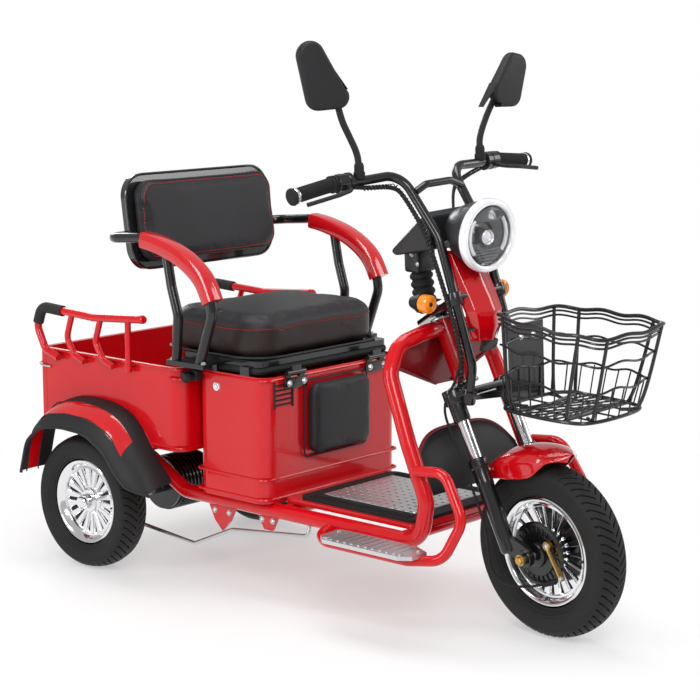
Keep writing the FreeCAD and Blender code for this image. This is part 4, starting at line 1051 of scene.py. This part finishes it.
second = [spot(*p) for p in ((0.852, 0.2, 1.036), (0.87, 0.1, 1.02), (0.9, 0.05, 0.985), (0.94, 0.02, 0.93))]
wires("left_cable", [second, [p + Vector((-0.012, 0.01, 0.004)) for p in second]], 0.003, "steering", rubber,
      turned=True)


# Mirrors: black moulded heads with rounded corners on bent arms, with silvered glass on their backs.
silver = finish("mirror_glass", (0.9, 0.91, 0.92), (0.88, 0.89, 0.9), 0.02, 0.01, 200.0, 0.000001,
                Metallic=1.0)
# side, middle of the head, yaw in degrees, discs (y, z, radius) that the outline wraps round
HEADS = [("right", (0.834, -0.272, 1.297), -20.0, [(-0.031, 0.046, 0.033), (-0.017, -0.048, 0.030),
                                                        (0.030, -0.050, 0.027)]),
         ("left", (0.849, 0.303, 1.240), 6.0, [(0.016, 0.035, 0.031), (0.034, 0.031, 0.031),
                                                    (-0.034, -0.024, 0.031), (0.012, -0.035, 0.030)])]


def oval(discs, where, thick, shrink, shift):
    """A plate round several discs, in the plane across a mirror's axis."""
    bm = bmesh.new()
    for y, z, radius in discs:
        bmesh.ops.create_cone(bm, cap_ends=True, segments=40, radius1=radius - shrink,
                              radius2=radius - shrink,
                              depth=thick, matrix=where @ Matrix.Translation((shift, y, z))
                              @ Matrix.Rotation(math.pi / 2, 4, "Y"))
    hull = bmesh.ops.convex_hull(bm, input=bm.verts)
    bmesh.ops.delete(bm, geom=[v for v in hull["geom_interior"] if isinstance(v, bmesh.types.BMVert)],
                     context="VERTS")
    bmesh.ops.dissolve_limit(bm, angle_limit=0.02, verts=bm.verts[:], edges=bm.edges[:])
    return bm


for word, middle, yaw, discs in HEADS:
    where = Matrix.Translation(spot(*middle)) @ Matrix.Rotation(math.radians(yaw), 4, "Z")
    head = oval(discs, where, 0.026, 0.0, 0.0)
    bmesh.ops.bevel(head, geom=[e for e in head.edges if e.calc_face_angle(0.0) > 1.0], offset=0.010,
                    segments=4, profile=0.5, affect="EDGES", material=-1)
    shown = piece("mirror_head_" + word, head, "steering", grained_plastic, turned=True)
    if word == "right":
        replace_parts(shown, "mirrors")
    piece("mirror_glass_" + word, oval(discs, where, 0.0016, 0.006, -0.0134), "steering", silver, turned=True)
wires("mirror_arms", [[spot(*p) for p in line] for line in (
    ((0.853, -0.196, 1.050), (0.853, -0.196, 1.085), (0.850, -0.197, 1.115), (0.842, -0.212, 1.155),
     (0.836, -0.232, 1.200), (0.835, -0.240, 1.246)),
    ((0.853, 0.196, 1.050), (0.853, 0.196, 1.085), (0.850, 0.198, 1.110), (0.846, 0.222, 1.150),
     (0.845, 0.250, 1.190), (0.847, 0.268, 1.214)))], 0.0078, "steering", grained_plastic, turned=True)
arm_boots = bmesh.new()
for s in (-1, 1):
    lathe(arm_boots, [(0.0078, -0.002), (0.0135, -0.002), (0.0135, 0.012), (0.0115, 0.014), (0.0115, 0.026),
                      (0.0098, 0.032), (0.0078, 0.034)], facing(spot(0.853, s * 0.196, 1.060), (0, 0, 1)), 24)
piece("mirror_boots", arm_boots, "steering", rubber, turned=True)


# Headlamp: spun dark bucket on two ears, a thick chromed ring, and a clear cover over a dark dish
# with two white light bars, a smoked cap, a ribbed lower shade and a round projector.
lamp_at = spot(1.064, 0, 0.918)
lamp_facing = Vector((math.cos(math.radians(4.0)), 0.0, -math.sin(math.radians(4.0))))
lamp_where = facing(lamp_at, lamp_facing)
lamp_paint = finish("lamp_paint", (0.013, 0.014, 0.016), (0.019, 0.02, 0.022), 0.36, 0.08, 900.0, 0.00003,
                    Specular_IOR_Level=0.35, Coat_Weight=0.3, Coat_Roughness=0.2)
bucket = bmesh.new()
lathe(bucket, [(0, -0.104), (0.028, -0.104), (0.04, -0.1), (0.052, -0.088), (0.063, -0.068), (0.072, -0.044),
               (0.0775, -0.02), (0.08, -0.0075), (0.074, -0.0075), (0.072, -0.02)], lamp_where, 64)
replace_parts(piece("spun_bucket", bucket, "steering", lamp_paint, turned=True), "lamp_bucket")
wires("lamp_ears", [[spot(1.006, s * 0.045, 0.906), spot(0.996, s * 0.06, 0.9), spot(0.984, s * 0.068, 0.896)]
                    for s in (-1, 1)], 0.009, "steering", black_enamel, turned=True)
rim = bmesh.new()
lathe(rim, [(0.0700, -0.006), (0.0695, 0.004), (0.0708, 0.009), (0.0742, 0.0118), (0.0785, 0.0122),
            (0.0825, 0.0098),
            (0.0852, 0.0055), (0.086, -0.001), (0.0855, -0.0072), (0.0805, -0.0076)], lamp_where, 96,
      ring=True)
# The ring is chrome; its near-white colour is a painted reflection of the white surroundings.
bezel_painted_reflection = finish("bezel_painted_reflection", (0.92, 0.93, 0.95), (0.88, 0.89, 0.92), 0.1, 0.04, 500.0, 0.00001,
                     Metallic=0.3, Coat_Weight=0.6)
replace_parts(piece("lamp_bezel", rim, "steering", bezel_painted_reflection, 60.0, turned=True), "lamp_ring")
lamp_black = finish("lamp_dish", (0.010, 0.011, 0.014), (0.016, 0.018, 0.022), 0.12, 0.05, 300.0, 0.00002,
                    Coat_Weight=0.6)
dish = bmesh.new()
lathe(dish, [(0, -0.022), (0.026, -0.02), (0.03, -0.012), (0.044, -0.008), (0.056, -0.004), (0.0695, -0.001),
             (0.0695, -0.0065), (0.05, -0.012), (0.03, -0.026), (0, -0.028)], lamp_where, 64)
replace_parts(piece("lamp_dish", dish, "steering", lamp_black, turned=True), "lamp_lens")
white_bar = finish("light_bar", (0.9, 0.9, 0.92), (0.85, 0.86, 0.9), 0.15, 0.05, 500.0, 0.00001,
                   Coat_Weight=0.5)
up_in_lamp = (lamp_where.inverted().to_3x3() @ Vector((0, 0, 1))).normalized()
up_in_lamp.z = 0.0
side_in_lamp = up_in_lamp.cross(Vector((0, 0, 1)))
bars = []
for s in (-1, 1):
    bars.append([lamp_where @ ((side_in_lamp * s * math.cos(a * 0.08) + up_in_lamp * math.sin(a * 0.08)) * 0.0585
                               + Vector((0, 0, 0.0012))) for a in range(-9, 10)])
wires("light_bars", bars, 0.0046, "steering", white_bar, turned=True)
smoked = finish("smoked_shade", (0.035, 0.04, 0.05), (0.05, 0.055, 0.065), 0.1, 0.05, 300.0, 0.00002,
                Coat_Weight=1.0)
shade = bmesh.new()
bmesh.ops.create_circle(shade, cap_ends=True, radius=0.068, segments=64)
bmesh.ops.bisect_plane(shade, geom=shade.verts[:] + shade.edges[:] + shade.faces[:],
                       plane_co=up_in_lamp * 0.034,
                       plane_no=up_in_lamp, clear_inner=True)
bmesh.ops.transform(shade, matrix=lamp_where @ Matrix.Translation((0, 0, 0.0018)), verts=shade.verts)
cap = piece("lamp_top_shade", shade, "steering", smoked, turned=True)
cap_wall = cap.modifiers.new("wall", "SOLIDIFY")
cap_wall.thickness = 0.0015
lower = bmesh.new()
for count in range(5):
    drop = -0.034 - count * 0.007
    wide = math.sqrt(0.066 ** 2 - drop ** 2)
    bmesh.ops.create_cube(lower, size=1.0,
                          matrix=lamp_where @ Matrix.Translation(up_in_lamp * drop + Vector((0, 0, 0.0005)))
                          @ up_in_lamp.to_track_quat("X", "Z").to_matrix().to_4x4()
                          @ Matrix.Diagonal((0.0055, wide * 1.5, 0.003, 1.0)))
soften(lower, 0.0008)
piece("lamp_lower_shade", lower, "steering", smoked, turned=True)
projector = bmesh.new()
lathe(projector, [(0.0185, -0.012), (0.0195, 0.0), (0.0175, 0.0025), (0.0158, 0.001), (0.0145, -0.006)],
      lamp_where @ Matrix.Translation(up_in_lamp * -0.004), 48)
piece("projector_rim", projector, "steering", chrome, 60.0, turned=True)
clear = finish("clear_cover", (0.98, 0.98, 0.98), (0.97, 0.97, 0.98), 0.02, 0.0, 100.0, 0.0,
               Transmission_Weight=1.0, IOR=1.3)
eye = bmesh.new()
lathe(eye, [(0, 0.003), (0.006, 0.0024), (0.011, 0.0002), (0.0145, -0.004)],
      lamp_where @ Matrix.Translation(up_in_lamp * -0.004), 48)
piece("projector_eye", eye, "steering", white_bar, 60.0, turned=True)
cover = bmesh.new()
lathe(cover, [(0.0695, 0.0045), (0.062, 0.0075), (0.045, 0.0105), (0.024, 0.0122), (0, 0.0127)], lamp_where,
      96)
glass_cover = piece("lamp_cover", cover, "steering", clear, 60.0, turned=True)
cover_wall = glass_cover.modifiers.new("wall", "SOLIDIFY")
cover_wall.thickness = 0.001


# Front panel: one glossy red moulding between the risers, creased twice, held by a grey clip at its foot.
PANEL = [(0.988, 0.058, 0.882), (1.010, 0.059, 0.846), (1.030, 0.059, 0.812), (1.050, 0.058, 0.778),
         (1.067, 0.056, 0.744), (1.070, 0.050, 0.708), (1.061, 0.038, 0.674)]  # x, half width, z
panel = bmesh.new()
bmesh.ops.create_grid(panel, x_segments=24, y_segments=24, size=0.5)
for vert in panel.verts:
    across, down = vert.co.x * 2.0, (vert.co.y + 0.5) * (len(PANEL) - 1)
    row = min(int(down + 1e-6), len(PANEL) - 2)
    share = down - row
    x, half, z = [a + (b - a) * share for a, b in zip(PANEL[row], PANEL[row + 1])]
    wide = abs(across)
    back = 0.0 if wide < 0.5 else 0.005 * (wide - 0.5) / 0.25 if wide < 0.75 else 0.005 + 0.09 * (wide - 0.75)
    ridge = 0.010 * (1.0 - (wide / 0.5) ** 1.5) if wide < 0.5 else 0.0
    vert.co = spot(x - back + ridge, across * half, z)
front = piece("creased_panel", panel, "steering", red_gloss, smooth=22.0, turned=True)
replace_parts(front, "front_panel")
front_wall = front.modifiers.new("wall", "SOLIDIFY")
front_wall.thickness = 0.004
front_edge = front.modifiers.new("edge", "BEVEL")
front_edge.width = 0.0012
front_edge.segments = 2
front_edge.limit_method = "ANGLE"
wires("panel_stays", [[spot(x0, s * 0.068, z), spot((x0 + x1) / 2, s * 0.06, z), spot(x1, s * y1, z)]
                      for s in (-1, 1) for x0, x1, y1, z in ((1.016, 1.0, 0.052, 0.8),
                                                             (1.046, 1.05, 0.04, 0.706))],
      0.005, "steering", black_enamel, turned=True)
clip = bmesh.new()
bmesh.ops.create_cube(clip, size=1.0, matrix=Matrix.Translation(spot(1.058, 0,
                                                                     0.662)) @ Matrix.Rotation(0.35, 4, "Y")
                      @ Matrix.Diagonal((0.010, 0.05, 0.026, 1.0)))
soften(clip, 0.003, 2)
piece("panel_clip", clip, "steering", lamp_paint, turned=True)


# Dash: dark moulded wedge with a glossy display let into the face towards the rider, and a ribbed boot below.
wedge = bmesh.new()
slab(wedge, [spot(x, -0.066, z) for x, z in ((0.808, 0.872), (0.820, 0.857), (0.938, 0.880), (0.950, 0.962),
                                             (0.932, 0.972))], Vector((0, 0.132, 0)))
bmesh.ops.bevel(wedge, geom=[e for e in wedge.edges if e.calc_length() > 0.03], offset=0.0075, segments=3,
                profile=0.5, affect="EDGES", material=-1)
block = cuboid(wedge, spot(0.836, 0, 0.842), (0.050, 0.062, 0.060))
bmesh.ops.bevel(wedge, geom=list({e for v in block["verts"] for e in v.link_edges}), offset=0.008, segments=3,
                profile=0.5, affect="EDGES", material=-1)
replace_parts(piece("dash_wedge", wedge, "steering", lamp_paint, turned=True), "dash")
dash_screws = bmesh.new()
bolt(dash_screws, spot(0.842, -0.031, 0.858), (0, -1, 0), 0.006)
bolt(dash_screws, spot(0.860, -0.031, 0.836), (0, -1, 0), 0.005)
piece("dash_screws", dash_screws, "steering", zinc, turned=True)
dress("steering_boot", rubber)
display_gloss = finish("display_gloss", (0.004, 0.005, 0.006), (0.006, 0.007, 0.009), 0.05, 0.02, 200.0,
                       0.00001, Coat_Weight=1.0)
slope = (spot(0.932, 0, 0.972) - spot(0.808, 0, 0.872)).normalized()
face_out = slope.cross(Vector((0, 1, 0))).normalized()
if face_out.z < 0:
    face_out = -face_out
display = bmesh.new()
centre = (spot(0.932, 0, 0.972) + spot(0.808, 0, 0.872)) / 2 + face_out * 0.001
bmesh.ops.create_cube(display, size=1.0, matrix=facing(centre,
                                                       face_out) @ Matrix.Diagonal((0.112, 0.108, 0.004,
                                                               1.0)))
soften(display, 0.0016, 2)
piece("dash_display", display, "steering", display_gloss, turned=True)


# Turn signals: bullet housings on short stalks, with domed amber lenses ringed inside.
dress("signal_housings", grained_plastic)
amber = finish("amber_lens", (0.95, 0.30, 0.003), (0.85, 0.2, 0.002), 0.12, 0.05, 300.0, 0.00005,
               Coat_Weight=1.0)
lenses, seats = bmesh.new(), bmesh.new()
for s in (-1, 1):
    where = facing(spot(0.996, s * 0.12, 0.768), (1, 0, 0))
    lathe(lenses, [(0, -0.026), (0.0215, -0.0262), (0.0222, -0.012), (0.0215, -0.005), (0.0185, -0.0015),
                   (0.0165, -0.0008),
                   (0.0155, -0.0022), (0.0145, -0.0006), (0.0125, 0.0), (0.0115, -0.0016), (0.0105, 0.0),
                   (0.0085, 0.0002), (0.0075, -0.0014), (0.0, -0.0014)], where, 40)
    lathe(seats, [(0, -0.0012), (0.0055, -0.0008), (0.0035, 0.0006), (0, 0.001)], where, 8)
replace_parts(piece("domed_lenses", lenses, "steering", amber, turned=True), "signal_lenses")
piece("lens_middles", seats, "steering", painted_hole_shade_and_lens_centre, turned=True)


# Front fender: short red hood moulded in one piece, with a pointed lip and skirts beside the fork legs.
HOOD = [(73, 0.014, 0.000), (77, 0.036, 0.000), (82, 0.052, 0.010), (86, 0.058, 0.028), (91, 0.061, 0.046),
        (100, 0.062, 0.053), (112, 0.062, 0.050), (122, 0.061, 0.036),
        (131, 0.056, 0.024)]  # wheel angle, half width, skirt depth
SECTION = [(-1.0, -1.0), (-0.45, -0.99), (0.0, -0.93), (0.45, -0.66), (1.0, 0.0)]  # skirt share, width share
columns = SECTION + [(up, -out) for up, out in reversed(SECTION[:-1])]
HOOD_R = 0.2315


def wheel_spot(radius, degrees, y):
    angle = math.radians(degrees)
    return spot(AXLE_X + radius * math.cos(angle), y, AXLE_Z + radius * math.sin(angle))


hood = bmesh.new()
bmesh.ops.create_grid(hood, x_segments=len(HOOD) - 1, y_segments=len(columns) - 1, size=0.5)
for vert in hood.verts:
    degrees, half, skirt = HOOD[round((vert.co.x + 0.5) * (len(HOOD) - 1))]
    up, out = columns[round((vert.co.y + 0.5) * (len(columns) - 1))]
    lift = up * skirt if up < 0 else up * 0.021
    vert.co = wheel_spot(HOOD_R + lift, degrees, out * half)
guard = piece("front_hood", hood, "steering", red_gloss, smooth=0, turned=True)
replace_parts(guard, "front_fender")
guard_wall = guard.modifiers.new("wall", "SOLIDIFY")
guard_wall.thickness = 0.003
guard_wall.offset = 0.0
guard_round = guard.modifiers.new("smooth", "SUBSURF")
guard_round.levels = guard_round.render_levels = 3
edge_lines = [[wheel_spot(HOOD_R - skirt + 0.001, degrees, s * half) for degrees, half,
               skirt in HOOD[2:]] for s in (-1, 1)]
wires("hood_edges", edge_lines, 0.0026, "steering", red_gloss, turned=True)
hood_bolts = bmesh.new()
for s in (-1, 1):
    bolt(hood_bolts, spot(1.105, s * 0.0605, 0.385), (0, s, 0), 0.0065)
piece("hood_bolts", hood_bolts, "steering", zinc, turned=True)


# Basket: black coated steel wire, welded: waved side wires, a doubled rim, upright straps and a crossed
# floor.
# A slotted black plate carries it from the fork crown.
coated = finish("coated_wire", (0.005, 0.005, 0.006), (0.009, 0.009, 0.010), 0.3, 0.1, 1200.0, 0.00008,
                Specular_IOR_Level=0.35, Coat_Weight=0.3)
BASKET_REAR, BASKET_FRONT, BASKET_TOP, BASKET_LOW = 1.180, 1.507, 0.760, 0.552


def basket_outline(k, inset=0.0):
    """Corners of the tub at a share k of its height; the rim falls a little to the front and the left."""
    front = BASKET_FRONT - 0.058 * (1 - k) - inset
    rear = BASKET_REAR + inset
    side, back, nose = 0.114 + 0.02 * k - inset, 0.08 + 0.008 * k - inset, 0.084 + 0.012 * k - inset
    plan = [(rear, -back), (rear + 0.038, -side), (front - 0.054, -side), (front, -nose), (front, nose),
            (front - 0.054, side), (rear + 0.038, side), (rear, back)]
    corners = []
    for x, y in plan:
        share = (x - rear) / (front - rear)
        sag = 0.010 - 0.024 * share - 0.011 * (1 - share) * (1 + y / 0.12)
        corners.append(spot(x, y, BASKET_LOW + (BASKET_TOP - BASKET_LOW) * k + k * sag))
    return corners


def smoothed(points, times, closed=False):
    """Corners cut again and again until a line of places is smooth."""
    for _ in range(times):
        pairs = list(zip(points, points[1:] + points[:1])) if closed else list(zip(points, points[1:]))
        cut = [p for a, b in pairs for p in (a.lerp(b, 0.25), a.lerp(b, 0.75))]
        points = cut if closed else points[:1] + cut[1:-1] + points[-1:]
    return points


def along_outline(corners, steps):
    """Evenly spaced points along a closed outline."""
    loop = corners + corners[:1]
    total = sum((b - a).length for a, b in zip(loop, loop[1:]))
    found, gone, target = [], 0.0, 0.0
    for a, b in zip(loop, loop[1:]):
        run = (b - a).length
        while target <= gone + run and len(found) < steps:
            found.append(a + (b - a) * ((target - gone) / run))
            target += total / steps
        gone += run
    return found


def waved(k, depth, waves, steps=96, inset=0.0):
    ring = along_outline(smoothed(basket_outline(k, inset), 3, True), steps)
    return [p + Vector((0, 0, depth * math.sin(n * math.tau * waves / steps))) for n, p in enumerate(ring)]


middle_rings = [waved(k, 0.004, 9) for k in (0.36, 0.68)] + [waved(k, 0.003, 9) for k in (0.90, 0.95)]
tub = wires("waved_wires", middle_rings, 0.0027, "steering", coated, closed=True, turned=True, sides=1,
            fine=2)
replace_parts(tub, "basket")
wires("basket_rim", [waved(1.0, 0.003, 9), waved(0.0, 0.0, 1)], 0.0045, "steering", coated, closed=True,
      turned=True, sides=2, fine=2)
posts = []
for index in range(8):
    low, high = basket_outline(0.0, 0.004)[index], basket_outline(1.0, 0.003)[index]
    inner = spot(1.33, 0, BASKET_LOW)
    toward = (inner - low).normalized()
    posts.append([low + toward * 0.05, low + toward * 0.016, low + toward * 0.008 + (high - low) * 0.04,
                  low.lerp(high, 0.2) + toward * 0.003, low.lerp(high, 0.6) + toward * 0.004,
                  high + toward * 0.008])
wires("basket_posts", posts, 0.0042, "steering", coated, turned=True)
low_points = along_outline(smoothed(basket_outline(0.0), 3, True), 26)
mid_points = along_outline(smoothed(basket_outline(0.36), 3, True), 26)
wires("basket_uprights", [[low, low.lerp(mid, 0.5), mid] for low, mid in zip(low_points, mid_points)], 0.0018,
      "steering", coated, turned=True, sides=1, fine=2)
floor_lines = []
for n in range(-1, 10):
    for turn in (-1, 1):
        ends = []
        for y in (-0.112, 0.112):
            x = BASKET_REAR + 0.010 + n * 0.028 + (y * turn + 0.112) * 0.5
            ends.append(spot(min(max(x, BASKET_REAR + 0.050), BASKET_FRONT - 0.118), y, BASKET_LOW + 0.002))
        floor_lines.append([ends[0], ends[0].lerp(ends[1], 0.5), ends[1]])
for y in (-0.06, 0.0, 0.06):
    floor_lines.append([spot(BASKET_REAR + 0.002, y, BASKET_LOW - 0.001), spot(1.31, y, BASKET_LOW - 0.001),
                        spot(BASKET_FRONT - 0.060, y, BASKET_LOW - 0.001)])
wires("basket_floor", floor_lines, 0.0022, "steering", coated, turned=True, sides=1, fine=2)
dress("basket_bracket", black_enamel)
# The plate's slots are thin near-black boxes on its face: painted shade for the openings.
plate_marks, plate_bolts = bmesh.new(), bmesh.new()
for y, z, wide, tall in ((0, 0.715, 0.07, 0.008), (-0.03, 0.64, 0.008, 0.05), (0.03, 0.64, 0.008, 0.05),
                         (0, 0.66, 0.024, 0.024), (0, 0.59, 0.05, 0.008)):
    cuboid(plate_marks, spot(1.1707, y, z), (0.0018, wide, tall))
soften(plate_marks, 0.0006)
piece("plate_slots", plate_marks, "steering", painted_hole_shade_and_lens_centre, turned=True)
for y in (-0.02, 0.02):
    bolt(plate_bolts, spot(1.1797, y, 0.70), (1, 0, 0), 0.0065)
piece("plate_bolts", plate_bolts, "steering", zinc, turned=True)


# Seat cushion: moulded foam under leatherette, grey-black on the crown and brown-black round the side,
# closed by red stitching and a piped edge; it sits on a painted base with two hinges in front.
dress("seat_base", black_enamel)
dress("seat_hinges", black_enamel)
seat_form = pad_form((0.352, 0.478, 0.096), 0.078, 0.024, Matrix.Translation(spot(0.3525, 0, 0.637)), 2)
seat = stuffed("seat_cushion_sewn", seat_form, "seat", "seat_cushion", black_hide, 0.010,
               (spot(0, 0, 0.5885), Vector((0, 0, 1))))
seat.data.materials.append(brown_hide)
for polygon in seat.data.polygons:
    if polygon.center.z < 0.670:
        polygon.material_index = 1


def on_surface(target, points, lift):
    """Points dropped onto the nearest place of a finished pad and lifted a little off it."""
    shown = target.evaluated_get(bpy.context.evaluated_depsgraph_get())
    tree = BVHTree.FromObject(shown, bpy.context.evaluated_depsgraph_get())
    found = []
    for point in points:
        place, normal, _, _ = tree.find_nearest(point)
        found.append(place + normal * lift)
    return found


def stitches(name, target, path, body, thread):
    """Short thread loops laid on a pad along an outline."""
    dashes = []
    for a, b in zip(path, path[1:] + path[:1]):
        step = (b - a)
        if step.length > 0.02:
            continue
        dashes.append(on_surface(target, [a, a + step * 0.32, a + step * 0.64], 0.0005))
    wires(name, dashes, 0.0009, body, thread, sides=0, fine=2)


def rounded_path(corners, radius, count):
    """Evenly spaced points on a closed outline with truly round corners."""
    arc = []
    for before, corner, after in zip(corners[-1:] + corners[:-1], corners, corners[1:] + corners[:1]):
        inward, outward = (before - corner).normalized(), (after - corner).normalized()
        centre = corner + (inward + outward) * radius
        for n in range(9):
            angle = n / 8 * math.pi / 2
            arc.append(centre - outward * radius * math.cos(angle) - inward * radius * math.sin(angle))
    return along_outline(arc, count)


def flat_path(x0, x1, half, z, radius, count):
    return rounded_path([spot(x0, -half, z), spot(x1, -half, z), spot(x1, half, z), spot(x0, half, z)],
                        radius, count)


stitches("seat_stitching", seat, flat_path(0.14, 0.57, 0.28, 0.668, 0.10, 184), "seat", stitch_red)
wires("seat_seam", [on_surface(seat, flat_path(0.14, 0.57, 0.28, 0.673, 0.10, 96), 0.0)], 0.0016, "seat",
      brown_hide, closed=True)
wires("seat_foot_piping", [flat_path(0.180, 0.532, 0.238, 0.592, 0.075, 72)], 0.0034, "seat", black_hide,
      closed=True)
hinge_plates, hinge_bolts = bmesh.new(), bmesh.new()
for y in (-0.15, 0.15):
    cuboid(hinge_plates, spot(0.5736, y, 0.5335), (0.003, 0.082, 0.027))
    for offset in (-0.026, 0.026):
        bolt(hinge_bolts, spot(0.5750, y + offset, 0.533), (1, 0, 0), 0.0075)
soften(hinge_plates, 0.001, 2)
piece("hinge_plates", hinge_plates, "chassis", black_enamel)
piece("hinge_bolts", hinge_bolts, "chassis", zinc)
wires("seat_seal", [level_ring(0.272, 0.530, 0.234, 0.5636, 0.030)], 0.0102, "seat", rubber, closed=True)
clamp = bmesh.new()
block = cuboid(clamp, spot(0.338, -0.262, 0.538), (0.030, 0.022, 0.026))
bmesh.ops.bevel(clamp, geom=list({e for v in block["verts"] for e in v.link_edges}), offset=0.003, segments=2,
                profile=0.5, affect="EDGES", material=-1)
knob = [(0.0, 0.030), (0.012, 0.029), (0.015, 0.024), (0.015, 0.014), (0.011, 0.011), (0.006, 0.009),
        (0.006, 0.0), (0.0, 0.0)]
lathe(clamp, knob, facing(spot(0.338, -0.270, 0.536), (-0.3, -1, 0)), 10)
piece("clamp_knob", clamp, "chassis", grained_plastic)
seat_lock = bmesh.new()
lathe(seat_lock, [(0, 0.006), (0.006, 0.006), (0.0065, 0.005), (0.0068, 0.0035), (0.0105, 0.003),
                  (0.0115, 0.0), (0, 0)], facing(spot(0.4, -0.25, 0.515), (0, -1, 0)), 28)
piece("seat_lock", seat_lock, "chassis", chrome)


# Backrest: foam pad in a glossy black moulded shell, with a piped edge and a stitched border.
back_where = Matrix.Translation(spot(0.118, 0, 0.9)) @ Matrix.Rotation(math.radians(-8.0), 4, "Y")
back_form = pad_form((0.030, 0.492, 0.218), 0.05, 0.009, back_where @ Matrix.Translation((-0.003, 0, 0)), 0)
back = stuffed("backrest_sewn", back_form, "seat", "backrest_cushion", black_hide, 0.008,
               (back_where @ Vector((-0.0195, 0, 0)), back_where.to_3x3() @ Vector((1, 0, 0))))
shell_gloss = finish("shell_gloss", (0.010, 0.010, 0.011), (0.014, 0.014, 0.015), 0.12, 0.06, 400.0, 0.00002,
                     Coat_Weight=0.8, Coat_Roughness=0.03)
dress("backrest_shell", shell_gloss)


def back_path(out, half, tall, radius, count):
    corners = [back_where @ Vector((out, y, z)) for y, z in ((-half, -tall), (half, -tall), (half, tall),
                                                             (-half, tall))]
    return rounded_path(corners, radius, count)


wires("backrest_piping", [on_surface(back, back_path(0.014, 0.246, 0.109, 0.05, 72), 0.0002)], 0.0028, "seat",
      black_hide, closed=True)
stitches("backrest_stitching", back, back_path(0.03, 0.237, 0.1025, 0.046, 140), "seat", stitch_red)
wires("shell_rim", [back_path(-0.019, 0.257, 0.12, 0.058, 72)], 0.0034, "seat", shell_gloss, closed=True)


# Arm frames: one bent black tube round the back with two struts, bolted to the base, and glossy red arm pads.
dress("arm_frames", black_enamel)
PAD = [(0.216, 0.868), (0.262, 0.862), (0.346, 0.838), (0.420, 0.790), (0.448, 0.734)]  # x, z along the tube
corner = [(0.0225 * a, 0.0205 * b) for a, b in ((1, -0.55), (1, 0.55), (0.85, 0.9), (0.5, 1), (-0.5, 1),
                                                (-0.85, 0.9),
                                                (-1, 0.55), (-1, -0.55), (-0.85, -0.9), (-0.5, -1), (0.5, -1),
                                                (0.85, -0.9))]  # out, up
pads = bmesh.new()
for s in (-1, 1):
    path = smoothed([spot(x, s * 0.308, z) for x, z in PAD], 3)
    sweep = bmesh.ops.create_grid(pads, x_segments=len(path) - 1, y_segments=len(corner), size=0.5)["verts"]
    for vert in sweep:
        row = round((vert.co.x + 0.5) * (len(path) - 1))
        out, up = corner[round((vert.co.y + 0.5) * len(corner)) % len(corner)]
        run = (path[min(row + 1, len(path) - 1)] - path[max(row - 1, 0)]).normalized()
        vert.co = path[row] + Vector((0, out, 0)) + run.cross(Vector((0, 1, 0))) * -up
bmesh.ops.remove_doubles(pads, verts=pads.verts, dist=0.00001)
bmesh.ops.holes_fill(pads, edges=[e for e in pads.edges if e.is_boundary], sides=0)
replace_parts(piece("moulded_pads", pads, "seat", red_gloss, 50.0), "armrest_pads")
arm_bolts = bmesh.new()
for s in (-1, 1):
    for x in (0.31, 0.418):
        bolt(arm_bolts, spot(x, s * 0.312, 0.580), (0, 0, 1), 0.007)
piece("arm_bolts", arm_bolts, "seat", zinc)
